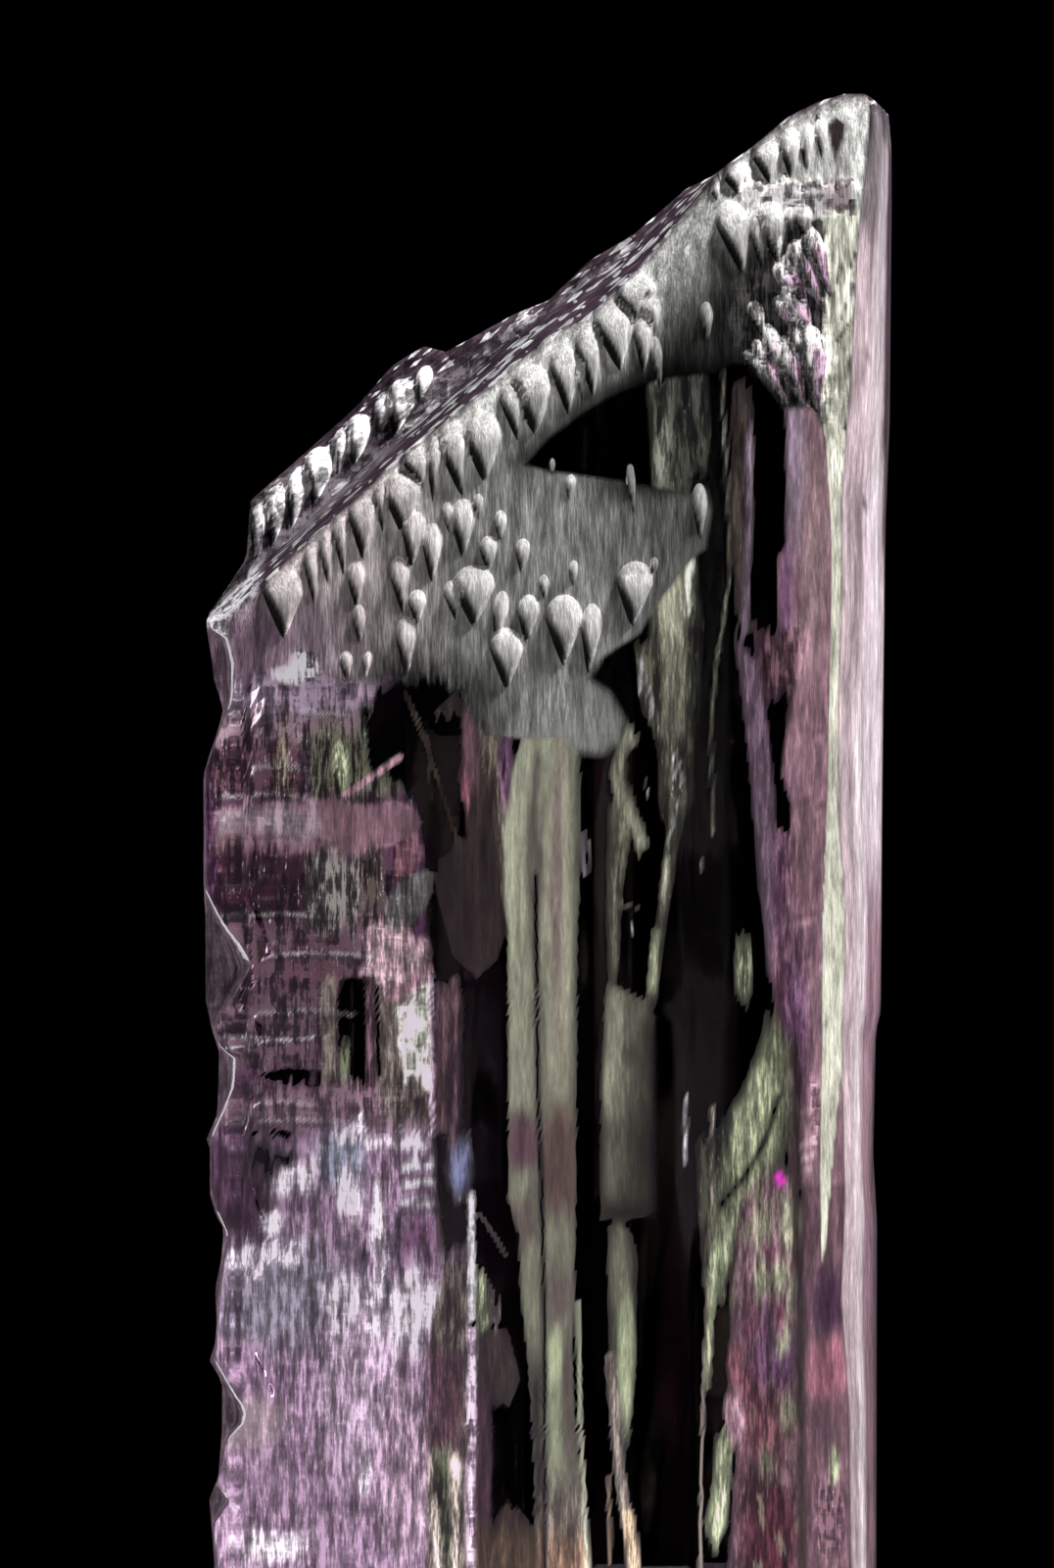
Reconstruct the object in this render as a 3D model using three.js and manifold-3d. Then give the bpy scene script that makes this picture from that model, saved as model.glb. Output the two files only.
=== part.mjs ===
// A large gem crystal of kunzite, the lilac variety of spodumene, standing on its cut base.
// It is one flattened prism: a broad flat front face, narrow bevelled faces down its right side,
// a ribbed back, a chipped cleavage edge on its left, and a slanting termination whose back
// carries a second, parallel-grown ridge. Millimetres, +Z along the crystal, front towards -Y.
import * as THREE from 'three';
import { mergeVertices } from 'three/addons/utils/BufferGeometryUtils.js';
import Module from 'manifold-3d';

// Driving dimensions.
const HALF_WIDTH = 35.45; // half the greatest width, left to right
const HALF_DEPTH = 14; // half the greatest thickness, front to back
const HEIGHT = 168; // cut base to the tip
const CUT_MARGIN = 5; // how far a cutting shape reaches past what it cuts
const STEP_DEPTH = 0.7; // how far the face above the ledge is set back
const STEP_LEFT = 19.5; // left end of the ledge
const STEP_HEIGHT = 158.6; // height of the ledge

// The crystal's section, seen from above, counter-clockwise from the front left corner: [x, y].
const FRONT_AND_RIGHT_FACES = [
  [-HALF_WIDTH - CUT_MARGIN, -HALF_DEPTH + 1.2],
  [-31, -HALF_DEPTH],
  [18, -HALF_DEPTH],
  [30.4, -HALF_DEPTH + 0.3],
  [31.9, -11.3],
  [33.2, -6.8],
  [34.3, -1.6],
  [HALF_WIDTH + CUT_MARGIN, 2.6],
  [33.4, 7.8],
  [29.2, 12.2],
];
// The ribs of the back face, right to left, then the back left corner.
const RIBS = [
  [21.5, 13.6], [20.3, 12.6], [12.4, HALF_DEPTH], [11.2, 12.9], [3.4, 13.9], [2.0, 12.7],
  [-6.5, HALF_DEPTH], [-8.1, 12.8], [-17.6, 13.8], [-19.0, 12.5], [-27.5, 13.3], [-30.5, 12.0],
];
const BACK_LEFT = [-HALF_WIDTH - CUT_MARGIN, 8.5];

// The termination, left to right: x, height of the front edge, of the bevel's back edge,
// of the crest behind it, and of the rear edge.
const TERMINATION = [
  [-HALF_WIDTH, 113.4, 114.2, 114.4, 113.2],
  [-32.8, 114.8, 116.6, 118.2, 116.4],
  [-30.7, 116.7, 118.7, 120.9, 118.8],
  [-30.2, 117.0, 119.1, 126.3, 123.6],
  [-26.0, 120.9, 123.3, 130.4, 128.0],
  [-20.0, 126.4, 129.0, 135.7, 133.1],
  [-16.1, 130.0, 132.4, 140.1, 137.2],
  [-12.9, 132.6, 135.0, 142.1, 139.3],
  [-10.6, 134.5, 136.9, 141.4, 138.9],
  [-3.5, 140.2, 142.8, 145.2, 143.0],
  [0.0, 143.0, 145.4, 146.8, 144.9],
  [4.2, 145.6, 148.5, 150.9, 149.1],
  [9.0, 150.2, 152.1, 153.6, 152.3],
  [14.3, 156.4, 157.5, 158.4, 157.4],
  [17.4, 159.8, 160.3, 160.6, 159.8],
  [20.5, 162.1, 162.3, 162.3, 161.8],
  [24.7, 165.6, 165.7, 165.6, 165.1],
  [27.5, 167.1, 167.1, 167.0, 166.4],
  [30.3, HEIGHT, HEIGHT, 167.8, 167.0],
  [32.4, HEIGHT, HEIGHT, 167.6, 166.8],
  [35.1, 166.0, 166.0, 165.7, 165.2],
];
// How far back each of those four edges lies; the first and last are just outside the section.
const EDGE_DEPTHS = [-HALF_DEPTH - 1, 2.5, 7.5, HALF_DEPTH + 1];
const RIDGE_FOOT = 4.5; // where the parallel-grown ridge rises behind the bevel

// The right side, tip to base, and the chipped left edge, base to shoulder: [x, z].
const RIGHT_SIDE = [
  [HALF_WIDTH, 163.4], [35.2, 157.3], [34.9, 134.8], [34.5, 124.5], [34.2, 97.3], [34.1, 73.8],
  [33.6, 71.6], [33.3, 59.0], [33.7, 52.0], [33.6, 0],
];
const LEFT_EDGE = [
  [-34.4, 0], [-33.7, 6.5], [-34.6, 10.8], [-34.3, 17.3], [-34.8, 23.9], [-33.9, 25.8],
  [-33.5, 35.6], [-34.8, 38.0], [-34.0, 40.4], [-34.2, 45.3], [-33.6, 48.0], [-33.3, 51.1],
  [-34.4, 53.6], [-34.8, 56.6], [-34.3, 58.6], [-35.0, 60.9], [-33.9, 64.2], [-33.8, 69.2],
  [-34.6, 72.2], [-35.2, 75.3], [-35.1, 83.5], [-HALF_WIDTH, 90.0], [-HALF_WIDTH, 98.6],
  [-34.4, 101.0], [-33.5, 104.0], [-34.4, 107.6], [-34.9, 111.6],
];

const wasm = await Module();
wasm.setup();

// A closed geometry as a solid that can be joined and cut.
function solid(geometry) {
  geometry.deleteAttribute('normal');
  geometry.deleteAttribute('uv');
  const merged = mergeVertices(geometry, 1e-4);
  return new wasm.Manifold(new wasm.Mesh({
    numProp: 3,
    vertProperties: new Float32Array(merged.attributes.position.array),
    triVerts: new Uint32Array(merged.index.array),
  }));
}

// A solid back as a geometry.
function geometryOf(body) {
  const mesh = body.getMesh();
  const geometry = new THREE.BufferGeometry();
  geometry.setAttribute('position', new THREE.BufferAttribute(mesh.vertProperties, 3));
  geometry.setIndex(new THREE.BufferAttribute(mesh.triVerts, 1));
  geometry.computeVertexNormals();
  return geometry;
}

// A box given by its lowest and highest corners.
function block(low, high) {
  const size = new THREE.Vector3().subVectors(high, low);
  const centre = new THREE.Vector3().addVectors(low, high).multiplyScalar(0.5);
  return new THREE.BoxGeometry(size.x, size.y, size.z).translate(centre.x, centre.y, centre.z);
}

// The section run up the full height: the side faces and the ribs.
function prism() {
  const corners = [...FRONT_AND_RIGHT_FACES, ...RIBS, BACK_LEFT];
  const section = new THREE.Shape(corners.map(([x, y]) => new THREE.Vector2(x, y)));
  return solid(new THREE.ExtrudeGeometry(section, { depth: HEIGHT + 1, bevelEnabled: false }));
}

// The outline seen from the front, with the termination's edges at one depth.
function outlineAt(edge) {
  const top = TERMINATION.map((row) => [row[0], row[1 + edge]]);
  return [...LEFT_EDGE, ...top, ...RIGHT_SIDE].map(([x, z]) => new THREE.Vector2(x, z));
}

// Outlines at several depths, skinned into one closed body.
function skin(sections) {
  const count = sections[0].outline.length;
  const positions = [];
  for (const { outline, y } of sections) {
    for (const point of outline) positions.push(point.x, y, point.y);
  }
  const index = [];
  for (let s = 0; s < sections.length - 1; s += 1) {
    for (let i = 0; i < count; i += 1) {
      const a = s * count + i;
      const b = s * count + ((i + 1) % count);
      index.push(a, b, b + count, a, b + count, a + count);
    }
  }
  const last = (sections.length - 1) * count;
  for (const [a, b, c] of THREE.ShapeUtils.triangulateShape(sections[0].outline, [])) {
    index.push(a, b, c);
  }
  for (const [a, b, c] of THREE.ShapeUtils.triangulateShape(sections.at(-1).outline, [])) {
    index.push(last + a, last + c, last + b);
  }
  const geometry = new THREE.BufferGeometry();
  geometry.setAttribute('position', new THREE.Float32BufferAttribute(positions, 3));
  geometry.setIndex(index);
  return geometry;
}

// The chipped edge and the slanting termination, front to back, with the ridge behind the bevel.
function silhouette() {
  const [front, bevelBack, crest, rear] = EDGE_DEPTHS;
  return solid(skin([
    { y: front, outline: outlineAt(0) },
    { y: bevelBack, outline: outlineAt(1) },
    { y: RIDGE_FOOT, outline: outlineAt(1) },
    { y: crest, outline: outlineAt(2) },
    { y: rear, outline: outlineAt(3) },
  ]));
}

// What is missing in front, above the ledge near the tip.
function stepCut() {
  return solid(block(
    new THREE.Vector3(STEP_LEFT, -HALF_DEPTH - CUT_MARGIN, STEP_HEIGHT),
    new THREE.Vector3(30.2, -HALF_DEPTH + STEP_DEPTH, HEIGHT + CUT_MARGIN),
  ));
}

const crystal = new THREE.Mesh(
  geometryOf(prism().intersect(silhouette()).subtract(stepCut())),
  new THREE.MeshStandardMaterial({
    name: 'kunzite',
    color: new THREE.Color(0.76, 0.62, 0.78),
    roughness: 0.15,
    metalness: 0,
    transparent: true,
    opacity: 0.6,
  }),
);
crystal.name = 'kunzite_crystal';

const part = new THREE.Group();
part.name = 'kunzite';
part.add(crystal);

export default part;
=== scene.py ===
import bmesh
import bpy
import numpy as np
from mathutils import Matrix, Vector


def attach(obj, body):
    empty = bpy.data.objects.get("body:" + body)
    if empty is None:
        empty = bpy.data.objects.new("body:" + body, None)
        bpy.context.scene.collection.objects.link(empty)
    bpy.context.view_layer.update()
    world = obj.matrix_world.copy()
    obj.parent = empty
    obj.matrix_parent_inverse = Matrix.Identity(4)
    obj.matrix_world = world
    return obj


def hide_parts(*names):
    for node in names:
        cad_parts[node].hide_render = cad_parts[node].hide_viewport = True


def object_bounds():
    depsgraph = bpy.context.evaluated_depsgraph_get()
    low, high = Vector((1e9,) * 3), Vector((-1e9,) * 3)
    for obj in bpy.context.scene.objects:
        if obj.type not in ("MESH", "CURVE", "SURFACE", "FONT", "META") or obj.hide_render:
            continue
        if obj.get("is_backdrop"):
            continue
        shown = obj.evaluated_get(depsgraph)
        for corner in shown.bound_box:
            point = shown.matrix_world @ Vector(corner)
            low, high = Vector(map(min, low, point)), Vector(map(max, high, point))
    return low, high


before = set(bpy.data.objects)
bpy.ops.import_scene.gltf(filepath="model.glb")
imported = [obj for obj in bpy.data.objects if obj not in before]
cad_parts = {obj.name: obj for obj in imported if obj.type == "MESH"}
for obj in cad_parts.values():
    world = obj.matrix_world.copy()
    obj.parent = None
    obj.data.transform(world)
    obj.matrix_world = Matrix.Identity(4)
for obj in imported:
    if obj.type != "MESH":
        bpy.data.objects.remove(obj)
cad_low, cad_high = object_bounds()

# --- The crystal: outline and block ------------------------------------------------------------
# One flattened prism of kunzite, broad front towards -Y, bevelled down its right side and
# gently ribbed behind. It starts as a finely cut block and is drawn out to its natural outline.
MM = 0.001
FRONT, BACK = cad_low.y / MM, cad_high.y / MM
ACROSS, UP, THROUGH = 194, 120, 29  # strips that the block is cut into, each way
TINY = 1e-6  # a point of the unit block this near one of its sides lies on it
FACE_SET_BACK = 1.2  # the plain face lies this far behind the proudest hillocks

# Heights of the termination, left to right: x, front edge, bevel's back edge, crest, rear edge.
TERMINATION = np.array([
    (-35.4, 113.4, 114.2, 114.4, 113.2), (-32.8, 114.8, 116.6, 118.2, 116.4),
    (-31.2, 116.2, 118.2, 120.6, 118.4), (-30.8, 116.5, 118.6, 126.6, 123.6),
    (-26.0, 120.9, 123.3, 130.8, 128.0), (-20.0, 126.4, 129.0, 136.2, 133.1),
    (-16.1, 130.0, 132.4, 140.6, 137.2), (-12.9, 132.6, 135.0, 142.6, 139.3),
    (-10.6, 134.5, 136.9, 142.0, 138.9), (-3.5, 140.2, 143.4, 145.9, 143.0),
    (0.0, 143.0, 146.0, 147.3, 144.9), (4.2, 145.4, 149.2, 151.4, 149.1),
    (9.0, 150.0, 152.8, 154.3, 152.3), (14.3, 156.2, 158.2, 158.9, 157.4),
    (17.4, 160.0, 160.4, 160.4, 159.8), (20.5, 162.3, 162.3, 162.3, 161.8),
    (24.7, 165.7, 165.7, 165.6, 165.1), (27.5, 167.1, 167.1, 167.0, 166.4),
    (30.3, 167.95, 167.95, 167.8, 167.0), (32.4, 167.95, 167.95, 167.6, 166.8),
    (35.4, 165.9, 165.9, 165.7, 165.2),
])
BEVEL_BACK, RIDGE_FOOT, CREST = 2.0, 3.4, 6.4  # how far back those edges lie
# Strips are closest together on the ridge's face: share of the strips, how far back they lie.
STRIP_SHARE, STRIP_DEPTH = (0, 0.40, 0.78, 1), (FRONT, RIDGE_FOOT - 0.2, CREST + 0.3, BACK)
# The outline as seen from the front, and the front face's own edges inside it: z, x.
RIGHT_OUTLINE = np.array([(0, 33.8), (52, 33.9), (59, 33.5), (71.6, 33.8), (73.8, 34.3), (97.3, 34.5),
                          (124.5, 34.8), (134.8, 35.2), (157.3, 35.4), (163.4, 35.4), (168, 35.0)])
RIGHT_CORNER = np.array([(0, 31.2), (17.3, 31.0), (33.2, 30.8), (44.5, 30.0), (54.3, 30.4), (70.4, 30.1),
                         (79, 30.4), (84, 30.4), (93.4, 29.7), (104.8, 29.7), (116, 30.1), (124.5, 30.0),
                         (132, 30.5), (137.6, 31.0), (146, 31.4), (151.7, 31.7), (160, 32.7), (168, 33.1)])
LEFT_OUTLINE = np.array([(0, -34.4), (6.5, -33.7), (10.8, -34.6), (17.3, -34.3), (23.9, -34.8),
                         (25.8, -33.9), (30.8, -33.5), (35.6, -33.5), (38, -34.8), (40.4, -34),
                         (45.3, -34.2), (48, -33.6), (51.1, -33.3), (52.6, -34.1), (55.3, -34.8),
                         (58.6, -34.4), (60.9, -35.1), (63.0, -34.0), (69.2, -33.8), (72.2, -34.6),
                         (75.3, -35.2), (83.5, -35.2), (87.3, -35.4), (98.6, -35.4), (100.6, -34.5),
                         (103.6, -33.4), (105.2, -33.7), (107.3, -34.3), (110, -34.6), (113.4, -35.1),
                         (116, -35.1)])
LEFT_CORNER = np.array([(0, -33.9), (8, -33.1), (17.3, -34.0), (21.5, -34.4), (24, -32.5), (25.5, -34.0),
                        (29.9, -33.0), (31.4, -31.1), (32.7, -31.0), (34.2, -32.0), (38.4, -34.2),
                        (45.3, -33.6), (50.8, -32.8), (53.6, -34.0), (56, -34.6), (60.9, -34.6),
                        (63.5, -33.2), (65.6, -32.2), (68.2, -32.1), (70.0, -33.6), (72.6, -34.2),
                        (76.5, -30.4), (79.3, -31.6), (83, -33.6), (86.5, -35.1), (98.6, -35.2),
                        (101, -34.3), (103.2, -33.2), (104.4, -32.4), (108.2, -32.3), (111.1, -32.9),
                        (113.4, -34.9), (116, -35.1)])
# The bevelled faces down the right side: how far back their edges lie, in 35ths of the thickness,
# and how far they stand out from the front corner to the outline. Past the widest place they turn
# in to the back. The left side is described the same way.
SIDE_DEPTHS = np.array([0, 3, 9, 15, 21, 27, 33, 35]) / 35
SIDE_REACH = np.array([0, 0.36, 0.68, 0.95, 1.0, 0.85, 0.35, 0.1])
LEFT_DEPTHS = np.array([0, 1, 9, 11, 28, 35]) / 35
LEFT_REACH = np.array([0, 0.12, 0.3, 1.0, 1.0, 0.35])
# The back's shallow ribs: x, how far the face lies in front of the rearmost point.
RIBS = np.array([(-35.5, 3.2), (-30.0, 2.1), (-25.0, 1.2), (-20.0, 0.6), (-15.0, 0.9), (-9.0, 0.3),
                 (-3.0, 0.7), (4.5, 0.2), (9.0, 0.6), (15.0, 0.2), (20.0, 0.7), (24.5, 0.8), (29.5, 1.7),
                 (35.5, 3.2)])


def along(points, z):
    """A polyline's second value at each height z."""
    return np.interp(z, points[:, 0], points[:, 1])


def ease(t):
    """0 to 1, smoothly."""
    t = np.clip(t, 0, 1)
    return t * t * (3 - 2 * t)


def crown(x, y):
    """Height of the termination above each place in the plan."""
    front, bevel, crest, rear = (np.interp(x, TERMINATION[:, 0], TERMINATION[:, k]) for k in range(1, 5))
    low = front + (bevel - front) * np.clip((y - FRONT) / (BEVEL_BACK - FRONT), 0, 1)
    high = crest + (rear - crest) * np.clip((y - CREST) / (BACK - CREST), 0, 1) ** 1.5
    return low + (high - low) * ease((y - RIDGE_FOOT) / (CREST - RIDGE_FOOT))


def cut_strips(mesh, axis, count):
    """Cuts a unit block into count strips along one axis."""
    edges = [e for e in mesh.edges if abs((e.verts[1].co - e.verts[0].co)[axis]) > 0.5]
    bmesh.ops.subdivide_edges(mesh, edges=edges, cuts=count - 1, use_grid_fill=True)


block = bmesh.new()
bmesh.ops.create_cube(block, size=1.0)
bmesh.ops.translate(block, vec=(0.5, 0.5, 0.5), verts=block.verts)
cut_strips(block, 0, ACROSS)
cut_strips(block, 2, UP)
cut_strips(block, 1, THROUGH)
bmesh.ops.dissolve_faces(block, faces=[f for f in block.faces if f.normal.z < -0.5])

# --- The etched face ---------------------------------------------------------------------------
# Below the termination the front is etched: a satin face rounded over at its upper edge, with
# drop-shaped hillocks whose round heads point up and whose tails run down along the crystal.
# Each hillock: x and z of its head's top, half its width, x and z of its tail's tip.
HILLOCKS = [
    (-27.2, 119.5, 2.15, -27.1, 112.1), (-24.4, 122.3, 0.8, -23.8, 115.0),
    (-22.9, 123.7, 0.75, -22.4, 117.0), (-21.4, 125.1, 0.8, -20.9, 118.4),
    (-17.2, 128.6, 0.8, -16.9, 122.8), (-19.0, 127.0, 1.5, -19.0, 120.1),
    (-19.7, 120.2, 0.95, -19.6, 115.0), (-19.4, 115.7, 0.7, -19.3, 111.4),
    (-20.7, 110.9, 0.7, -20.6, 107.6), (-18.4, 110.9, 0.45, -18.8, 107.8),
    (-15.0, 129.3, 2.0, -14.9, 122.6), (-13.6, 125.2, 1.3, -14.1, 119.2), (-11.8, 124.0, 1.1, -12.0, 117.7),
    (-15.3, 120.6, 1.05, -14.9, 114.6), (-13.4, 117.2, 0.95, -13.4, 113.3),
    (-14.6, 114.5, 1.05, -14.5, 107.9), (-13.9, 132.0, 1.5, -12.9, 127.4),
    (-11.5, 133.3, 0.95, -11.8, 125.7), (-10.0, 134.7, 1.7, -8.8, 126.5), (-6.8, 135.5, 2.1, -6.6, 128.0),
    (-8.7, 126.5, 1.3, -8.8, 120.2), (-10.4, 126.2, 0.6, -10.0, 122.4), (-7.2, 127.0, 0.55, -7.2, 124.2),
    (-4.9, 125.3, 0.65, -5.0, 121.8), (-6.1, 122.7, 0.95, -6.2, 118.7), (-2.6, 122.4, 0.8, -2.8, 118.7),
    (-7.6, 119.7, 2.2, -7.7, 113.3), (-9.9, 118.1, 0.95, -9.4, 113.8), (-4.7, 117.1, 0.85, -5.5, 111.3),
    (-2.0, 116.7, 1.15, -2.3, 111.5), (-4.3, 113.3, 1.75, -4.3, 106.8), (-0.5, 118.7, 0.55, -0.4, 115.9),
    (1.6, 116.7, 1.95, 1.5, 109.3), (4.5, 115.8, 1.1, 4.0, 108.3), (2.6, 120.2, 0.5, 2.4, 117.2),
    (2.3, 129.0, 0.55, 2.1, 125.8), (0.4, 130.6, 0.3, 0.4, 128.5), (8.9, 120.1, 1.9, 8.5, 113.3),
    (10.8, 120.5, 0.45, 10.7, 118.3), (15.4, 128.1, 0.8, 15.5, 121.8), (8.3, 130.4, 0.45, 8.8, 124.2),
    (-3.9, 138.6, 1.35, -3.0, 132.0), (-1.9, 140.3, 2.3, -1.4, 132.9), (1.5, 142.3, 1.5, 2.0, 134.9),
    (3.2, 140.7, 0.5, 3.4, 136.2), (3.9, 144.7, 1.4, 4.6, 136.6), (6.4, 146.9, 2.1, 7.3, 139.4),
    (8.7, 149.7, 2.3, 9.4, 143.4), (10.3, 147.5, 1.1, 10.8, 143.3), (9.6, 145.6, 1.0, 9.7, 139.0),
    (10.9, 143.1, 0.6, 11.5, 137.1), (16.1, 146.6, 0.7, 16.2, 142.1), (21.0, 146.7, 0.9, 21.9, 142.8),
    (20.7, 141.7, 1.0, 20.7, 139.7), (19.1, 161.3, 1.85, 19.4, 157.5), (22.1, 163.5, 1.6, 22.6, 158.6),
    (24.7, 164.6, 1.2, 24.8, 158.9), (26.5, 165.0, 0.8, 26.3, 159.6), (27.9, 165.8, 0.65, 28.0, 160.7),
    (27.9, 166.8, 0.6, 27.8, 164.3), (24.4, 164.8, 0.65, 24.4, 163.1), (16.9, 159.4, 0.7, 17.3, 156.7),
    (18.6, 157.0, 1.8, 19.9, 149.1), (21.1, 156.0, 0.85, 21.9, 149.4), (22.5, 156.9, 1.6, 23.4, 150.3),
    (24.6, 156.3, 0.5, 24.8, 153.1), (25.9, 156.6, 1.1, 26.2, 152.8), (21.1, 141.3, 0.8, 21.6, 138.5),
]
# Lilac ones below the ledge.
PETALS = [
    (26.6, 154.4, 1.2, 29.0, 146.6), (25.2, 153.0, 1.3, 28.4, 145.2), (24.4, 151.6, 1.0, 27.0, 144.2),
    (23.6, 150.6, 1.1, 26.0, 145.6), (24.4, 148.2, 1.2, 27.6, 141.6), (23.4, 147.2, 0.8, 24.8, 143.6),
    (25.2, 145.0, 1.2, 27.6, 138.0), (22.4, 144.4, 1.0, 25.6, 136.4), (26.8, 144.2, 1.5, 27.6, 135.0),
    (21.2, 142.8, 0.9, 24.8, 135.6), (24.0, 143.2, 1.0, 26.6, 135.2),
]
# Rounder ones along the ridge behind.
RIDGE_HILLOCKS = [
    (-29.6, 126.4, 1.1, -30.3, 120.0), (-28.0, 128.2, 1.3, -28.6, 121.5), (-25.6, 130.0, 1.2, -26.6, 123.5),
    (-23.5, 132.2, 1.7, -24.3, 126.0), (-21.2, 134.2, 1.0, -21.9, 129.0), (-19.4, 135.6, 1.5, -20.2, 130.0),
    (-16.9, 137.6, 1.0, -17.8, 132.6), (-15.0, 139.2, 1.7, -15.9, 133.2), (-12.6, 140.6, 0.9, -13.6, 136.4),
]
HEAD = 0.34  # share of a hillock's length that its round head takes
OUTSIDE = -1.2  # signed distance that counts as outside every hillock
ROUNDING = np.array([(-35, 4.0), (-10, 6.0), (4, 8.0), (12, 13.0), (20, 13.0), (33, 9.0)])
LEDGE_Z, LEDGE_X, LEDGE_DEPTH = 158.6, 19.5, 0.7
RELIEF = 0.9  # how far the proudest hillock stands out


def distance_from(x, z, corners):
    """Distance of points from a line through corners, in millimetres."""
    nearest = np.full_like(x, 1e9)
    for a, b in zip(corners[:-1], corners[1:]):
        side = b - a
        t = np.clip(((x - a[0]) * side[0] + (z - a[1]) * side[1]) / max(side @ side, 1e-9), 0, 1)
        nearest = np.minimum(nearest, np.hypot(x - a[0] - t * side[0], z - a[1] - t * side[1]))
    return nearest


def distance_inside(x, z, outline):
    """Signed distance of points from a closed outline, positive inside, in millimetres."""
    corners = np.array([*outline, outline[0]], float)
    inside = np.zeros(len(x), bool)
    for a, b in zip(corners[:-1], corners[1:]):
        if a[1] != b[1]:
            inside ^= ((a[1] > z) != (b[1] > z)) & (x < (b[0] - a[0]) * (z - a[1]) / (b[1] - a[1]) + a[0])
    nearest = distance_from(x, z, corners)
    return np.where(inside, nearest, -nearest)


def hillock_fields(x, z, rows):
    """For every point: signed distance into its hillock, the hillock's height there, how bright
    it is where the light rakes over it from the upper right, and -1 to 1 from its left to right."""
    edge, height = np.full_like(x, OUTSIDE), np.zeros_like(x)
    lit_tone, across = np.full_like(x, 0.5), np.zeros_like(x)
    for head_x, head_z, half, tail_x, tail_z in sorted(rows, key=lambda row: -row[1]):
        beside = np.abs(x - (head_x + tail_x) / 2) < half + 2
        near = np.flatnonzero(beside & (z < head_z + 1) & (z > tail_z - 1))
        # Its outline: a round head, and a tail that narrows to its tip.
        down = np.array([0, 0.03, 0.1, 0.2, 0.34, 0.5, 0.65, 0.8, 0.92, 1.0])
        head = np.sqrt(1 - (np.clip(HEAD - down, 0, 1) / HEAD) ** 2)
        width = half * np.where(down < HEAD, head, (np.clip(1 - down, 0, 1) / (1 - HEAD)) ** 0.85)
        middle = head_x + (tail_x - head_x) * down ** 1.3
        level = head_z + (tail_z - head_z) * down
        outline = [*zip(middle - width, level), *zip((middle + width)[-2:0:-1], level[-2:0:-1])]
        inward = distance_inside(x[near], z[near], outline)
        # How far down and how far to the side each point lies, then how high, then how bright.
        t = np.clip((head_z - z[near]) / (head_z - tail_z), 0, 1)
        spread = np.interp(t, down, width) + 0.12
        aside = np.clip((x[near] - np.interp(t, down, middle)) / spread, -1, 1)
        lift = 0.15 + 0.85 * np.sin(np.pi / 2 * np.clip(t / 0.5, 0, 1))
        lift *= (1 - 0.55 * ease((t - 0.4) / 0.6)) * np.clip(1 - np.abs(aside) ** 3, 0, 1) ** 0.6
        lift *= np.clip(0.25 + 0.38 * half, 0.3, 1.0) * (1 - 0.2 * aside) * ease(inward / 0.5 + 0.1)
        shade = ease((-1.15 + 1.75 * np.clip((t - 0.12) / 0.8, 0, 1) ** 1.1 - aside) / 0.5 + 0.5)
        glow = (0.90 - 0.55 * ease((t - 0.05) / 0.8) + 0.10 * aside) * (1 - 0.95 * shade)
        glow += (0.85 - glow) * ease((aside - 0.50) / 0.2) * ease((t - 0.45) / 0.25)
        glow += 0.18 * ease(1 - inward / 0.3) * ease(1 - t / 0.35)
        taken = (inward > 0) | ((edge[near] <= 0) & (inward > edge[near]))
        chosen = near[taken]
        for field, values in ((edge, inward), (height, lift), (lit_tone, glow), (across, aside)):
            field[chosen] = values[taken]
    return edge, height, lit_tone, across


def face_depth(x, z):
    """How far the front face lies behind the proudest hillocks."""
    below = np.interp(x, TERMINATION[:, 0], TERMINATION[:, 1]) - z
    reach = along(ROUNDING, x)
    depth = FACE_SET_BACK + 0.28 * reach * np.clip(1 - below / reach, 0, 1) ** 2
    ledge = LEDGE_Z + 0.5 * np.sin(1.9 * x) + 0.35 * np.sin(5.3 * x)
    depth += LEDGE_DEPTH * ease((z - ledge) / 0.5 + 0.5) * ease((x - LEDGE_X) / 0.8 + 0.5)
    depth += 0.4 * np.clip((-32 - x) / 3.4, 0, 1)
    return depth - RELIEF * hillock_fields(x, z, HILLOCKS + PETALS)[1]


# Outline of the etched zone, from its left end along its lower edge and back over the top: x, z.
ETCHED_ZONE = [(-36, 117.3), (-36, 107.3), (-32, 108.1), (-23, 108.3), (-18.2, 107.3), (-16, 108.0),
               (-12, 108.3), (-9, 107), (-7.6, 103.6), (-6.6, 102.3), (-4, 102.1), (-1.5, 101.9),
               (1.5, 102.1), (3, 100.7), (5.5, 100.5), (7.1, 101.6), (7.5, 103.8), (6.2, 106.3),
               (4, 108.1), (5.5, 110.3), (9.3, 112.7), (11, 115.5), (13, 118.1), (14.4, 120.1),
               (16, 121.3), (16.7, 125.3), (16.2, 127.8), (14.3, 127.0), (7.5, 128.2), (0, 129.2),
               (-2.5, 129.9), (0, 132.7), (4, 135.6), (7.3, 137.4), (11.6, 138.6), (14, 138.9),
               (17.5, 139.3), (19, 140.3), (20.5, 140.1), (23, 137.3), (24.3, 135.3), (27, 136.1),
               (28.1, 133.3), (36, 133.3), (36, 171), (0, 171), (-36, 137)]


# --- Drawing the block out ---------------------------------------------------------------------
# Every point of the cut block goes to its place on the natural crystal. The etched face, and the
# back whose markings show through the clear front, are cut more finely.
ROUGH_LEFT, ROUGH_WIDTH = -35.0, 69.5  # the outline without its chips, for a first height
FINE_LOW, FINE_HIGH = 15, 112  # the back is cut more finely between these heights
BROKEN_RIGHT, BROKEN_LOW = -8, 58  # and more finely still to the left of and above these


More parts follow.
